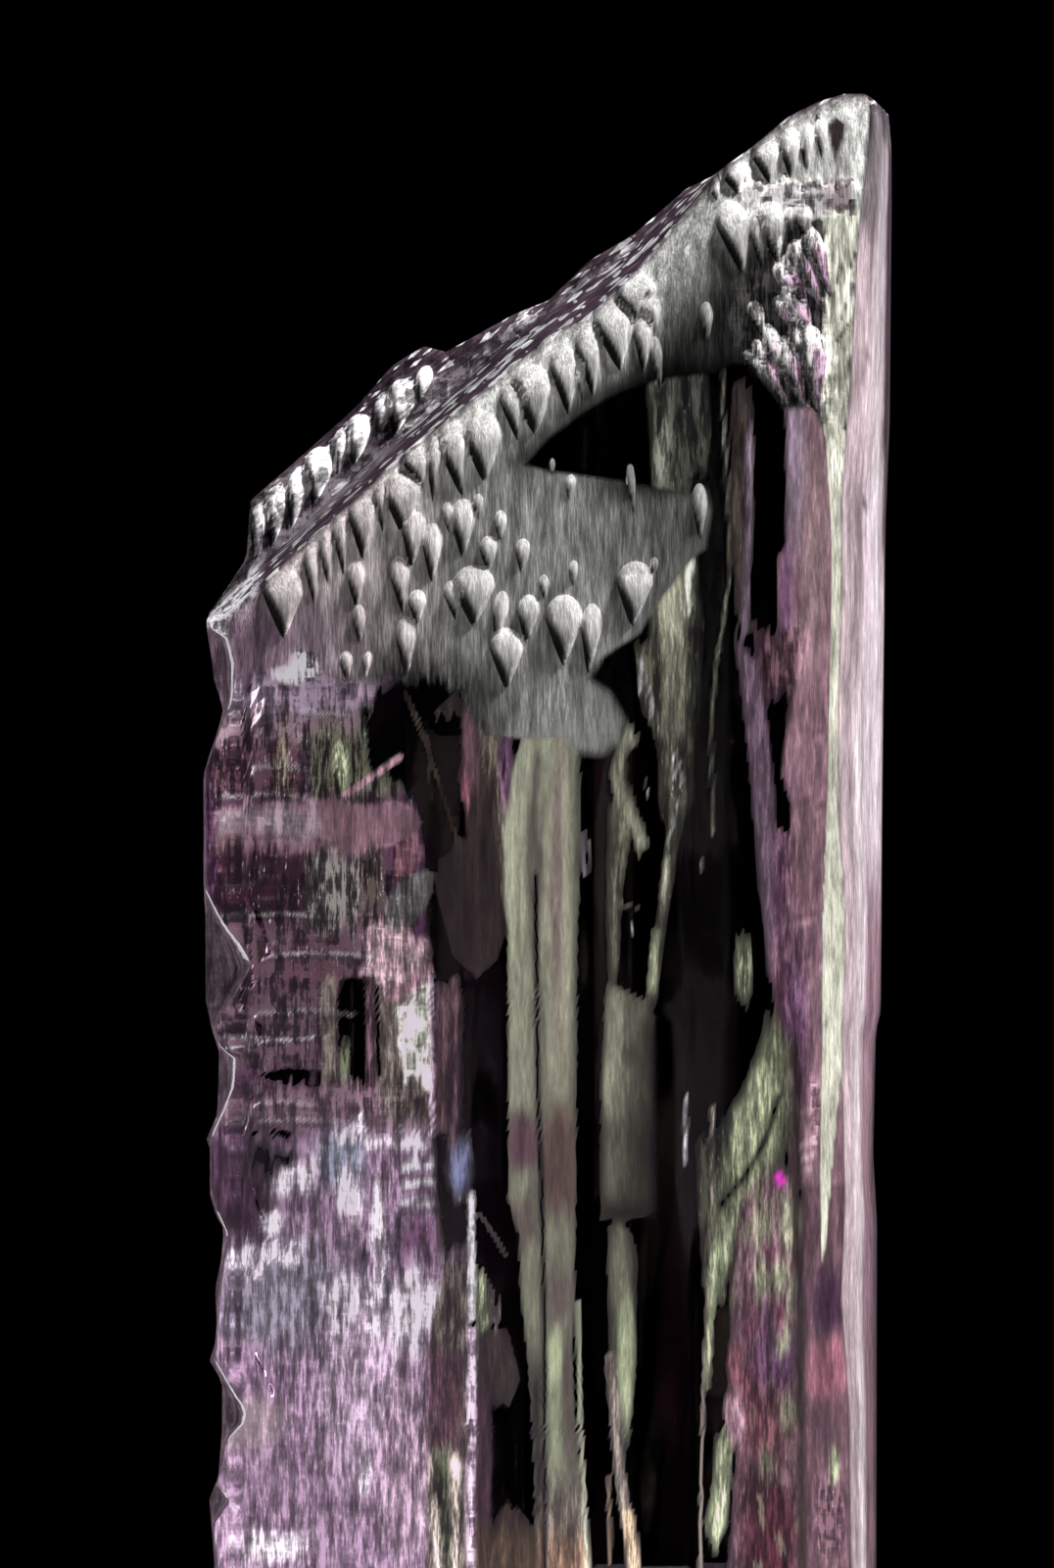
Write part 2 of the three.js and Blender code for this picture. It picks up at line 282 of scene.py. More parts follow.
def place(unit):
    """Millimetres in the row frame for points of the unit block."""
    u, w, v = unit[:, 0], unit[:, 1], unit[:, 2]
    y0 = np.interp(w, STRIP_SHARE, STRIP_DEPTH)
    share = (y0 - FRONT) / (BACK - FRONT)
    z = crown(ROUGH_LEFT + ROUGH_WIDTH * u, y0) * v
    left = along(LEFT_CORNER, z)
    left += (along(LEFT_OUTLINE, z) - left) * np.interp(share, LEFT_DEPTHS, LEFT_REACH)
    right = along(RIGHT_CORNER, z)
    right += (along(RIGHT_OUTLINE, z) - right) * np.interp(share, SIDE_DEPTHS, SIDE_REACH)
    x = left + (right - left) * u
    z = crown(x, y0) * v
    front = FRONT + face_depth(x, z)
    back = BACK - np.interp(x, RIBS[:, 0], RIBS[:, 1])
    y = front + (back - front) * share
    on_ridge = (v > 1 - TINY) & (y0 > RIDGE_FOOT - 0.3) & (y0 < CREST + 0.4)
    y[on_ridge] -= 1.5 * hillock_fields(x[on_ridge], z[on_ridge], RIDGE_HILLOCKS)[1]
    return np.stack([x, y, z], 1)


def unit_points():
    """The block's points, 0 to 1 each way."""
    return np.array([v.co for v in block.verts], float)


def upright_edges(chosen):
    """Upright edges of the block between chosen points."""
    return [e for e in block.edges
            if chosen[e.verts[0].index] and chosen[e.verts[1].index]
            and abs(e.verts[0].co.z - e.verts[1].co.z) > TINY]


block.verts.index_update()
spots = unit_points()
points = place(spots)
on_face = (spots[:, 1] < TINY) & (spots[:, 2] < 1 - TINY)
on_face &= distance_inside(points[:, 0], points[:, 2], ETCHED_ZONE) > -1.5
on_back = (spots[:, 1] > 1 - TINY) & (points[:, 2] > FINE_LOW) & (points[:, 2] < FINE_HIGH)
broken_part = on_back & (points[:, 0] < BROKEN_RIGHT) & (points[:, 2] > BROKEN_LOW)
face_edges, broken_edges = upright_edges(on_face), upright_edges(broken_part)
back_edges = upright_edges(on_back & ~broken_part)
ridge_edges = [e for e in block.edges
               if min(e.verts[0].co.z, e.verts[1].co.z) > 1 - TINY
               and abs(e.verts[0].co.y - e.verts[1].co.y) > TINY
               and STRIP_SHARE[1] - 0.02 < (e.verts[0].co.y + e.verts[1].co.y) / 2 < STRIP_SHARE[2] + 0.02]
for edges, cuts in ((face_edges, 3), (broken_edges, 3), (back_edges, 1), (ridge_edges, 1)):
    bmesh.ops.subdivide_edges(block, edges=edges, cuts=cuts, use_grid_fill=True)
bmesh.ops.triangulate(block, faces=[f for f in block.faces if len(f.verts) > 4])
block.normal_update()
for edge in block.edges:
    first, second = edge.link_faces
    edge.smooth = first.normal.dot(second.normal) > 0.5
for face in block.faces:
    face.smooth = True
spots = unit_points()
points = place(spots)
for vert, point in zip(block.verts, points):
    vert.co = Vector(point) * MM
bmesh.ops.recalc_face_normals(block, faces=block.faces)
crystal_mesh = bpy.data.meshes.new("crystal")
block.to_mesh(crystal_mesh)
block.free()
crystal = bpy.data.objects.new("crystal", crystal_mesh)
bpy.context.scene.collection.objects.link(crystal)

# --- Where the crystal is etched, cracked and healed -------------------------------------------
# The polished front lets the back show. There, channels are etched satin and glow as the lamps
# light them, pale green, lilac or rose as the light comes across or along the crystal; how bright
# and in what tint they glow is painted in, and the rest is polished, its darkness painted in.
x, y, z = points.T
front = (spots[:, 1] < TINY).astype(float)
back = (spots[:, 1] > 1 - TINY).astype(float)
top = spots[:, 2] > 1 - TINY
right_side = (spots[:, 0] > 1 - TINY) & ~top
left_side = (spots[:, 0] < TINY) & ~top
# The polished ground's darkness is painted into its tint.
DARK = 0.012  # how bright the polished ground shows
# The surface's tint also carries painted light and shade: on the etched front, and in the back's glow and
# darkness.
colour_and_light = np.full((len(x), 3), DARK)  # how bright and of what tint the surface shows
# On hillocks, the tint carries painted light and shade from the light raking over them.
drop_colour_and_light = np.ones((len(x), 3))  # the same on hillocks
marks = {
    "frost": np.zeros_like(x),  # 1 where it is etched so deeply that it scatters light
    "drop": np.full_like(x, OUTSIDE),  # signed distance into a hillock
    "streaks": np.zeros_like(x),  # how strongly fine upright streaks break it up
    "blocks": np.zeros_like(x),  # how strongly small cleavage steps break it up
    "grain": np.zeros_like(x),  # how strongly a fine grain along the termination breaks it up
    "flecks": np.zeros_like(x),  # how much it is flecked, green behind and white on the termination
    # how much painted glints sparkle on it
    "glints": np.zeros_like(x),  # how much it sparkles
    "rims": np.zeros_like(x),  # 1 along chipped edges that catch the light
}

GREEN_GREY = (0.97, 0.97, 0.74)
PALE_GREEN = (0.92, 1.00, 0.66)
SILVER = (0.97, 0.93, 1.00)
LILAC = (1.00, 0.74, 0.98)
PURPLE = (0.80, 0.42, 0.74)
MAUVE = (1.00, 0.58, 0.72)
ROSE = (1.00, 0.42, 0.54)
UMBER = (1.00, 0.82, 0.74)
PEACH = (1.00, 0.72, 0.52)
NEUTRAL = (1.0, 1.0, 1.0)

FIELD_WIDTH, FIELD_HEIGHT, FIELD_LEFT, FIELD_LOW = 100, 190, -45, -5  # more than the crystal covers


def random_field(step_x, step_z, seed):
    """Smooth random values, about -1 to 1, that change over so many millimetres each way."""
    size = (int(FIELD_WIDTH / step_x) + 3, int(FIELD_HEIGHT / step_z) + 3)
    table = np.random.default_rng(seed).normal(0, 0.6, size)
    i, k = (x - FIELD_LEFT) / step_x, (z - FIELD_LOW) / step_z
    i0, k0 = i.astype(int), k.astype(int)
    across, up = ease(i - i0), ease(k - k0)
    low = table[i0, k0] * (1 - across) + table[i0 + 1, k0] * across
    high = table[i0, k0 + 1] * (1 - across) + table[i0 + 1, k0 + 1] * across
    return low * (1 - up) + high * up


SQUAT = 0.5  # regions are measured squashed, so that their ends are softer than their sides
ragged_x = x + 0.25 * random_field(1.2, 9, 1)
ragged_z = z + 1.0 * random_field(0.36, 6, 2) + 0.9 * random_field(1.5, 4, 3)


def lay(mask, hue=None, glow=1.0, **goals):
    """Changes the tint and the marks towards their goals where a mask is 1."""
    if hue is not None:
        colour_and_light[:] += (np.array(hue) * glow - colour_and_light) * mask[:, None]
    for name, goal in goals.items():
        marks[name] += (goal - marks[name]) * mask


def region(outline, blur=0.8):
    """1 inside a closed outline of (x, z) points, with streaky edges and long soft ends."""
    squat = [(cx, cz * SQUAT) for cx, cz in outline]
    return back * ease(distance_inside(ragged_x, ragged_z * SQUAT, squat) / blur + 0.5)


def shape(outline, blur=0.6, on=back):
    """1 inside a closed outline of (x, z) points with clean edges."""
    return on * ease(distance_inside(x, z, outline) / blur + 0.5)


def channel(edges, foot, head, blur=0.5):
    """1 between two edges that run up the crystal, given as (z, left x, right x) from the foot up."""
    levels, left, right = np.array(edges, float).T
    aside = np.minimum(x - np.interp(z, levels, left), np.interp(z, levels, right) - x)
    return ease(aside / blur + 0.5) * ease(np.minimum(z - foot, head - z) / 1.2 + 0.5)


def line(route, width=0.3, blur=0.35, on=back):
    """1 along a thin line through (x, z) points."""
    return on * ease((width - distance_from(x, z, np.array(route, float))) / blur + 0.5)


def spot_share(share, middle, half):
    """1 in a soft band of a share that runs from 0 to 1."""
    return ease(1.2 - np.abs(share - middle) / half)


def spot(cx, cz, rx, rz, blur=0.9):
    """1 in an upright oval with soft, streaky edges."""
    return back * ease((1 - np.hypot((ragged_x - cx) / rx, (ragged_z - cz) / rz)) / blur + 0.5)


def lay_spots(where, *rows, **goals):
    """Lays ovals given as (middle x, middle z, half width, half height, tint, brightness)."""
    for cx, cz, rx, rz, hue, glow in rows:
        lay(where * spot(cx, cz, rx, rz), hue, glow, **goals)


# Faint veils in the dark ground.
lay(region([(11.5, 140), (19, 140), (19, 60), (14, 46), (11, 60)], 2.0), (0.90, 1.0, 0.86), 0.022,
    streaks=1.6, glints=0.16)
lay(region([(11, 128), (14.6, 128), (14.6, 96), (11, 96)], 1.5), GREEN_GREY, 0.03, streaks=1.5)
# Two satin channels right of the middle, with a dark seam between them.
wide = back * channel([(-9, -1.0, 4.6), (17.3, -1.2, 4.3), (25.9, -1.3, 3.2), (33.8, -1.7, 2.5),
                       (38.6, -2.1, 2.4), (45, -2.8, 2.6), (50.7, -2.9, 2.7), (54.5, -4.1, 2.7),
                       (65.5, -4.0, 2.8), (82.3, -4.1, 2.9), (85.4, -4.6, 3.1), (89.1, -5.0, 3.2),
                       (91.9, -4.8, 3.2), (98.1, -3.8, 3.2), (104, -2.2, 3.0)], -12, 106)
lay(wide, GREEN_GREY, 0.215, streaks=0.34)
lay_spots(wide, (-3.0, 90, 1.9, 13, GREEN_GREY, 0.40), (-3.2, 72, 1.4, 14, GREEN_GREY, 0.29),
          (1.0, 84, 1.4, 24, (1.0, 0.93, 0.72), 0.32), (0.9, 90, 0.6, 15, (1.0, 0.78, 0.72), 0.20),
          (-1.7, 88, 0.7, 9, (1.0, 0.90, 0.74), 0.15), (-0.4, 100, 1.2, 4, GREEN_GREY, 0.30))
lay(wide * ease((x - 2.0) / 1.2), GREEN_GREY, 0.08)
lay(wide * line([(-1.1, 100), (-1.5, 95), (-1.0, 90), (-1.2, 85)], 0.4, 1.1), UMBER, 0.10)
lay_spots(wide, (-2.6, 60.6, 2.2, 3.0, MAUVE, 0.12), (1.0, 58.5, 2.4, 6.0, (1.0, 0.68, 0.60), 0.11),
          (-2.4, 51.5, 1.8, 3.0, UMBER, 0.13), (1.3, 45, 1.8, 3.2, UMBER, 0.14),
          (0.6, 38.0, 0.9, 3.0, PALE_GREEN, 0.40), (0.9, 31, 0.7, 5.0, PALE_GREEN, 0.26),
          (2.2, 33, 0.8, 8.0, UMBER, 0.10))
lay(wide * ease((28 - z) / 6), UMBER, 0.12, streaks=1.1)
lay(wide * ease((-0.4 - x) / 0.6) * ease((42 - z) / 8), UMBER, 0.03)
lay(wide * ease((21.5 - z) / 4), (1.0, 0.64, 0.48), 0.20)
lay(line([(-0.4, -12), (-0.4, 28), (-0.4, 40), (-0.6, 52), (-1.1, 66), (-1.3, 88)], 0.30), NEUTRAL, 0.02)
lay(line([(3.1, 44), (3.3, 32), (4.1, 17), (4.3, 0)], 0.18, 0.25), GREEN_GREY, 0.42)
lay(line([(3.7, 92.4), (3.8, 87.6)], 0.12, 0.25), SILVER, 0.26)
lay(line([(4.2, 91.6), (4.2, 88.2)], 0.10, 0.25), SILVER, 0.2)
lay(region([(-7.6, 106), (-4.6, 104), (-4.0, 98), (-4.8, 91), (-4.6, 85), (-5.6, 92), (-6.6, 98)], 0.6),
    (1.0, 0.84, 0.70), 0.09, streaks=1.5)
lay(spot(-4.4, 99, 0.7, 4), PURPLE, 0.16)
# A dimmer pair with arched upper ends, with light along one side painted in.
lay(region([(6.8, 90.5), (10.0, 92.5), (13.0, 91), (12.4, 84), (11.2, 78), (7.2, 78)], 1.8),
    (0.92, 1.0, 0.84), 0.042, streaks=1.6, glints=0.2)
lay(region([(6.4, 88), (6.4, 102), (13, 102), (13, 76), (7, 76)], 2.0), GREEN_GREY, 0.012, streaks=1.0)
plateau = shape([(5.7, 52.5), (5.7, 66), (6.2, 76.4), (8.0, 75.9), (10.4, 74.6), (12.4, 72.6), (12.8, 68),
                 (12.6, 52.5)], 1.0)
lay(plateau, GREEN_GREY, 0.016, streaks=0.5)
fade = ease((11.5 - x) / 5.5)
lay(plateau * fade, GREEN_GREY, 0.15)
lay_spots(plateau * fade, (7.4, 74.0, 3.6, 2.4, GREEN_GREY, 0.22),
          (8.4, 70.2, 2.6, 1.2, GREEN_GREY, 0.05), (6.6, 67, 1.3, 5.0, GREEN_GREY, 0.28))
lay(plateau * ease((65 - z) / 6), GREEN_GREY, 0.012)
lay(plateau * fade * ease((65 - z) / 6), GREEN_GREY, 0.07)
lay(plateau * spot(6.7, 58.5, 0.9, 5.5, 1.2), GREEN_GREY, 0.11)
lay(plateau * ease((55.5 - z) / 3), GREEN_GREY, 0.014)
lower = shape([(6.4, 38), (6.2, 51.4), (7.0, 52.2), (8.4, 51.2), (9.1, 49), (9.1, 44), (8.6, 34)], 0.7)
lay(lower, GREEN_GREY, 0.05, streaks=0.5)
lay(lower * spot(7.2, 47, 1.2, 5), GREEN_GREY, 0.15)
lay(spot(8.0, 38, 0.8, 7.0, 0.9), PALE_GREEN, 0.40, streaks=0.5)
lay(line([(6.4, 38), (6.8, 33), (7.4, 26), (8.6, 18), (9.2, 8)], 0.55), UMBER, 0.20, streaks=1.3)
lay(line([(8.2, 22), (8.8, 18), (9.2, 8)], 0.6), PEACH, 0.40, streaks=1.3)
lay(line([(6.2, 26), (6.4, 17)], 0.12), PEACH, 0.3)
lay(region([(8.8, 103.2), (7.4, 101.6), (6.5, 98.4), (6.7, 95.4), (8.0, 92.6), (9.2, 90.6), (9.9, 91.2),
            (8.6, 94.4), (7.7, 97.4), (7.8, 100.2), (9.0, 102.4)], 1.2), GREEN_GREY, 0.30, streaks=0.8)
lay(shape([(6.5, 95), (6.3, 84), (6.6, 76.6), (7.0, 80), (7.2, 86), (8.2, 92), (7.8, 95)], 1.4),
    GREEN_GREY, 0.12, streaks=1.2)
lay(line([(6.9, 85.6), (7.8, 84.8), (9.2, 84.6)], 0.12, 0.5), GREEN_GREY, 0.16, streaks=1.6, glints=0.3)
lay(line([(8.7, 83.4), (8.6, 81.2)], 0.07, 0.25), SILVER, 0.35)
lay(line([(13.3, 95), (12.6, 91), (12.2, 87), (11.4, 81), (10.6, 75)], 0.3, 1.3), GREEN_GREY, 0.075,
    streaks=0.9)
lay(line([(12.3, 89.6), (11.8, 85.6)], 0.16, 0.9), GREEN_GREY, 0.34)
lay(line([(11.1, 82), (10.6, 76)], 0.18, 0.9), PALE_GREEN, 0.40)
lay(region([(11.4, 103), (14.0, 103), (14.0, 97), (12.6, 92), (11.4, 95)], 2.2), GREEN_GREY, 0.036,
    streaks=1.8, glints=0.3)
lay(region([(10.4, 121), (14.6, 121), (15.0, 112), (14.4, 102), (11.2, 102), (10.6, 112)], 2.4),
    GREEN_GREY, 0.04, streaks=1.5)
lay(spot(12.8, 110, 1.2, 8.0, 1.6), GREEN_GREY, 0.12, streaks=0.8)
lay(spot(12.7, 115.5, 1.2, 3.4, 1.5), GREEN_GREY, 0.30, streaks=0.7)
lay(region([(9.0, 112), (11.0, 110), (11.4, 103.6), (10.0, 104)], 1.4), GREEN_GREY, 0.05, streaks=1.8,
    glints=0.7)
for route in ([(9.6, 110.2), (9.9, 108.0), (10.6, 106.4)], [(10.6, 106.2), (10.8, 104.4)],
              [(9.2, 108.4), (9.4, 106.6)], [(13.0, 100.4), (13.1, 98.2)], [(13.6, 99.6), (13.7, 97.4)],
              [(10.0, 97.6), (10.4, 96.0)], [(13.3, 95.4), (12.9, 92.8), (12.2, 91.4)],
              [(15.9, 89.2), (16.0, 84.0)]):
    lay(line(route, 0.07, 0.3), SILVER, 0.36, streaks=0.6)
lay(line([(14.7, 119.8), (14.2, 117.4), (14.8, 114.8)], 0.28, 0.5), (0.95, 1.0, 0.84), 0.42, streaks=0.8)
lay(region([(10.2, 140), (13.2, 140), (13.8, 128), (10.8, 128)], 1.6), (0.98, 1.0, 0.86), 0.045,
    streaks=2.2)
lay(spot(11.8, 131, 0.8, 3), (0.98, 1.0, 0.84), 0.11, streaks=1.8)
lay(region([(14.0, 140), (16, 140), (16, 130), (14.6, 130)], 1.4), (0.98, 1.0, 0.86), 0.045, streaks=2)
# Fine bright lines in the dark ground: painted reflections.
lay(line([(18.0, 140.5), (18.8, 119), (17.4, 110), (16.8, 104), (17.0, 92)], 0.10, 0.25), GREEN_GREY,
    0.16, streaks=1)
lay(line([(17.0, 64), (16.8, 50), (16.1, 38), (15.8, 26), (15.6, 10)], 0.16, 0.25), UMBER, 0.34)
lay(line([(14.2, 65), (14.1, 58)], 0.10, 0.25), SILVER, 0.4)
lay(region([(13, 90), (18, 90), (18, 78), (14.5, 79)], 1.0), GREEN_GREY, 0.021, streaks=2.0, glints=0.25)
# The green satin slope and the rose ground towards the right.
lay(region([(18.9, -12), (19.0, 40), (18.8, 49), (21, 54), (25.4, 57), (26.2, 40), (26.2, -12)], 1.2),
    MAUVE, 0.115, streaks=1.1, flecks=0.1)
lay(spot(22.5, 33, 3.0, 6), ROSE, 0.10)
lay(region([(24.2, 77), (26.3, 77), (26.3, 57), (24.9, 57), (24.4, 66)], 0.8), (1.0, 0.66, 0.70), 0.045,
    streaks=0.9, flecks=0)
lay(spot(23.5, 39, 2.4, 5), PURPLE, 0.10)
slope = region([(23.9, 73.5), (24.5, 70), (24.6, 62), (22.6, 54), (20.4, 48), (18.6, 44), (17.4, 43),
                (17.0, 50), (17.4, 56), (19.8, 63), (22.4, 70.5)], 2.4)
lay(slope, PALE_GREEN, 0.17, streaks=1.2, flecks=0)
lay_spots(back, (22.2, 64, 1.6, 4, PALE_GREEN, 0.34), (20.3, 60.5, 1.3, 3.4, PALE_GREEN, 0.36),
          (18.2, 49.5, 0.9, 3.6, PALE_GREEN, 0.36), streaks=1.0)
lay(region([(15.4, 60), (16.8, 60), (17.0, 46), (16.2, 46)], 0.8), GREEN_GREY, 0.04, streaks=2.2)
# Painted shadow lines across the slope.
lay(line([(23.8, 65.2), (22.6, 61), (20.4, 57), (17.8, 53.8)], 0.34, 0.8), UMBER, 0.012)
lay(line([(23.8, 64.2), (24.3, 60.5), (24.8, 57)], 0.14, 0.6), UMBER, 0.012)
lay(line([(20.4, 53.4), (19.4, 49.6), (18.6, 45.4)], 0.5, 1.0), UMBER, 0.03)
lay(region([(20.4, 55), (25.4, 57), (25.4, 43), (22.4, 42), (19.4, 46)], 1.4), MAUVE, 0.20, streaks=1.1,
    flecks=0.3)
for cx, cz, rx, rz, glow in (
        (25.0, 52.6, 0.9, 2.8, 0.40), (24.2, 45.6, 1.2, 2.0, 0.30), (22.0, 45.4, 0.7, 2.0, 0.26),
        (22.2, 50.6, 1.1, 2.4, 0.24), (24.2, 41.2, 0.8, 1.6, 0.20), (24.8, 32.4, 0.9, 2.0, 0.12),
        (22.4, 26.4, 0.6, 2.0, 0.10)):
    lay(spot(cx, cz, rx, rz, 1.3), (1.0, 1.0, 0.72), glow, streaks=1.0, flecks=0)
for cx, cz in ((24.0, 43.0), (21.0, 41.6), (22.8, 48.2)):
    lay(spot(cx, cz, 0.9, 1.6, 1.3), (1.0, 0.40, 0.62), 0.17, flecks=0)
lay(region([(16.6, 42), (19.0, 46), (19.0, 30), (18.0, 28), (16.3, 34)], 0.8), GREEN_GREY, 0.016,
    streaks=1.5)
lay(line([(17.2, 50), (16.9, 45), (16.6, 40), (16.4, 35)], 0.28, 0.5), PALE_GREEN, 0.32, streaks=1.3)
lay(region([(16.4, 20), (17.6, 29.5), (18.9, 29.6), (18.0, 20), (17.4, 18)], 0.7), PALE_GREEN, 0.42,
    streaks=1.4)
lay(line([(19.4, 30), (18.2, 17)], 0.2), NEUTRAL, 0.015)
lay_spots(back, (19.3, 32.0, 0.9, 2.6, MAUVE, 0.50), (19.6, 37, 0.8, 2.4, ROSE, 0.22))
lay(spot(23.9, 56.0, 0.45, 0.7, 0.5), (1.0, 0.05, 0.72), 0.9, streaks=0, flecks=0)
lay(region([(20, 26), (25.6, 24), (25.6, -12), (19, -12)], 2), ROSE, 0.05, streaks=1.6, flecks=0.3)
seam = channel([(-12, 25.6, 26.6), (30, 25.8, 27.0), (45, 25.4, 26.2), (57, 25.0, 25.8)], -12, 58, 0.6)
lay(back * seam, UMBER, 0.035, streaks=0.5, flecks=0)
lay(spot(20.2, 78.5, 0.9, 3.2), PALE_GREEN, 0.20, streaks=2)
# Mauve bands beside the corner, dark windows between them, and a lilac shard.
panel = back * channel([(-12, 26.8, 31.5), (54, 26.4, 31.5)], -12, 56, 0.6)
lay(panel, MAUVE, 0.13, streaks=0.6)
lay_spots(panel, (28.9, 36.5, 2.2, 3.2, ROSE, 0.26), (29.2, 44.0, 2.0, 3.5, PURPLE, 0.08),
          (28.6, 29, 2.4, 3.5, MAUVE, 0.13))
lay(panel * spot(29.2, 21.5, 1.3, 4.2), MAUVE, 0.10, streaks=1.6, blocks=1.2, glints=0.35)
lay(panel * spot(29.6, 27.0, 0.5, 1.8), PALE_GREEN, 0.24, streaks=1.2)
bands = shape([(26.2, 56), (26.3, 66), (25.8, 70), (23.7, 72.8), (23.0, 78), (22.5, 84.8), (22.3, 90),
               (22.5, 94.2), (23.6, 93.0), (25.0, 91.8), (25.2, 95), (24.0, 98.5), (24.6, 104),
               (25.2, 112), (23.7, 113), (23.7, 121), (24.6, 121.5), (24.6, 137), (31.5, 137),
               (31.5, 56)], 0.5)
lay(bands, MAUVE, 0.24, streaks=0.6)
lay(bands * spot(24.2, 86, 1.5, 10, 1.2), (1.0, 0.50, 0.82), 0.11, streaks=1.3)
lay(bands * spot(24.4, 75, 1.4, 4, 1.0), (1.0, 0.45, 0.66), 0.09, streaks=1.2)
lay_spots(bands, (25.6, 130, 1.2, 9, LILAC, 0.24), (24.4, 117, 0.7, 5.5, PURPLE, 0.22),
          (27.3, 122, 1.4, 12, (1.0, 0.66, 0.72), 0.25), (26.6, 110, 1.8, 2.6, MAUVE, 0.34),
          (26.4, 86, 1.6, 10, MAUVE, 0.16))
lay(bands * spot(25.6, 72, 1.4, 8), PURPLE, 0.14, streaks=1.2)
lay(bands * spot(27.6, 63, 0.6, 4), MAUVE, 0.36, blocks=1.2)
for cz in (102.0, 94.4, 83.0, 78.6):
    lay(bands * line([(25.2, cz + 0.4), (26.8, cz + 1.0), (28.2, cz + 0.7), (29.4, cz - 0.4)], 0.12, 0.5),
        MAUVE, 0.10)
    lay(bands * line([(25.6, cz - 0.4), (27.0, cz + 0.2), (28.4, cz - 0.2)], 0.10, 0.4), MAUVE, 0.40)
for cz in (63.4, 60.2, 58.6, 57.2):
    lay(line([(26.2, cz), (27.2, cz + 0.2)], 0.10, 0.3), (1.0, 0.74, 0.80), 0.50)
lay(region([(21.4, 112), (24.2, 113), (25.4, 108), (25.0, 104), (24.0, 98), (22.6, 98), (22.0, 103)], 0.8),
    MAUVE, 0.018, streaks=1)
lay(region([(24.0, 106), (24.6, 104), (24.2, 98), (23.2, 98), (23.4, 104)], 0.6), PURPLE, 0.02, streaks=1.3)
lay(region([(20.8, 113.8), (23.4, 112.8), (25.8, 113.4), (26.4, 109.4), (25.2, 106.4), (22.6, 107.0),
            (21.4, 110)], 1.0), MAUVE, 0.075, streaks=1.5, blocks=0.6)
lay(spot(27.3, 109.8, 1.1, 1.7, 1.0), (1.0, 0.62, 0.72), 0.36, streaks=0.3)
lay(shape([(19.4, 112.6), (20.6, 110.8), (21.8, 109.0), (22.4, 104), (23.2, 97), (23.4, 86), (22.9, 77),
           (21.8, 88), (20.7, 101)], 0.8), (1.0, 0.66, 0.92), 0.13, streaks=0.9)
lay(region([(19.2, 138), (20.9, 138), (20.9, 126), (20.4, 113), (19.4, 114), (19.0, 126)], 0.6), UMBER,
    0.05, streaks=1.0)
lay(line([(20.8, 134), (20.7, 124), (20.3, 113)], 0.35), LILAC, 0.17)

# The broken left side: mauve veils between dark clear stretches, and bright steps at the foot with
# painted glints.
broken = region([(-36, -12), (-36, 112), (-16.5, 111), (-15.0, 105), (-14.0, 97), (-12.8, 88),
                 (-12.0, 78), (-12.2, 60), (-8.6, 59), (-8.6, -12)], 1.4)


def facet(outline, blur, hue, glow, **goals):
    """Lays a patch of the broken side inside a closed outline of (x, z) points."""
    lay(broken * region(outline, blur), hue, glow, **goals)


lay(broken, PURPLE, 0.045, streaks=1.3, blocks=1.1)
facet([(-36, 112), (-15, 112), (-17.5, 107), (-19, 104.4), (-36, 104.6)], 1.0, LILAC, 0.13, streaks=0.8,
      blocks=0.6, glints=0.15)
facet([(-34, 104.4), (-18, 104.6), (-16.4, 102), (-19, 98), (-24, 101.6), (-34, 101.4)], 1.0,
      (1.0, 0.70, 0.82), 0.10, streaks=1.3, blocks=0.5, glints=0.1)
facet([(-24.6, 103), (-15.6, 103), (-15.0, 97), (-18, 95.4), (-24.6, 95.4)], 1.6, GREEN_GREY, 0.055,
      streaks=2.4, blocks=0.3)
facet([(-33.6, 101.2), (-26, 101.6), (-25.6, 96.2), (-33.6, 95.8)], 1.2, MAUVE, 0.045, streaks=1.7,
      blocks=0.9, glints=0.45)
lay(broken * spot(-27.5, 99.0, 0.7, 2.6), (1.0, 0.80, 0.66), 0.12, blocks=0.5)
lay(broken * spot(-21.4, 98.6, 0.6, 2.4), PALE_GREEN, 0.40, streaks=1.2)
lay(region([(-19.6, 105.0), (-17.6, 107.4), (-10, 108), (-8.4, 103), (-10, 96), (-14.6, 95.8),
            (-18.8, 99.4)], 1.4), (0.9, 1.0, 0.84), 0.019, streaks=1.8, blocks=0.5, glints=0.1)
lay(region([(-12.2, 102), (-11.0, 102), (-11.0, 97), (-12.2, 97)], 0.8), PALE_GREEN, 0.11, streaks=2)
lay(line([(-21, 96.2), (-18.5, 97.8), (-15.4, 100.0)], 0.3), MAUVE, 0.22, streaks=0.8, blocks=0)
upper_band = shape([(-33.2, 94.6), (-27, 95.6), (-21.8, 95.9), (-18.8, 95.0), (-17.6, 95.5),
                    (-14.6, 95.2), (-13.1, 93.4), (-13.9, 91.7), (-17, 90.8), (-20, 89.9), (-26, 90.1),
                    (-33.4, 89.8)], 0.6)
lay(broken * upper_band, MAUVE, 0.155, streaks=0.4, blocks=0.12)
lay(broken * upper_band * region([(-33, 94.9), (-24, 96), (-23, 91.8), (-33, 91.8)], 1.2),
    (1.0, 0.76, 0.90), 0.155, streaks=0.5, blocks=0.5)
lay(line([(-33, 91.7), (-27, 91.8), (-23, 91.4), (-21.8, 91.0)], 0.10, 0.3), NEUTRAL, 0.03)
facet([(-33, 90), (-23, 90.3), (-22.4, 83.4), (-33, 82.6)], 1.4, MAUVE, 0.024, streaks=1.7, blocks=0.9,
      glints=0.45)
facet([(-24.8, 90.0), (-19.6, 90.0), (-19.2, 82.6), (-24.6, 82.4)], 1.4, (1.0, 0.90, 0.86), 0.12,
      streaks=2.1, blocks=0.3, glints=0.1)
facet([(-19.4, 89.6), (-17.0, 90.0), (-16.6, 84.0), (-19.2, 82.6)], 1.2, UMBER, 0.04, streaks=2.2,
      blocks=0.3, glints=0.2)
lay(broken * spot(-14.6, 89.2, 1.5, 1.5, 0.7), (1.0, 0.50, 0.62), 0.15, streaks=0.4, blocks=0)
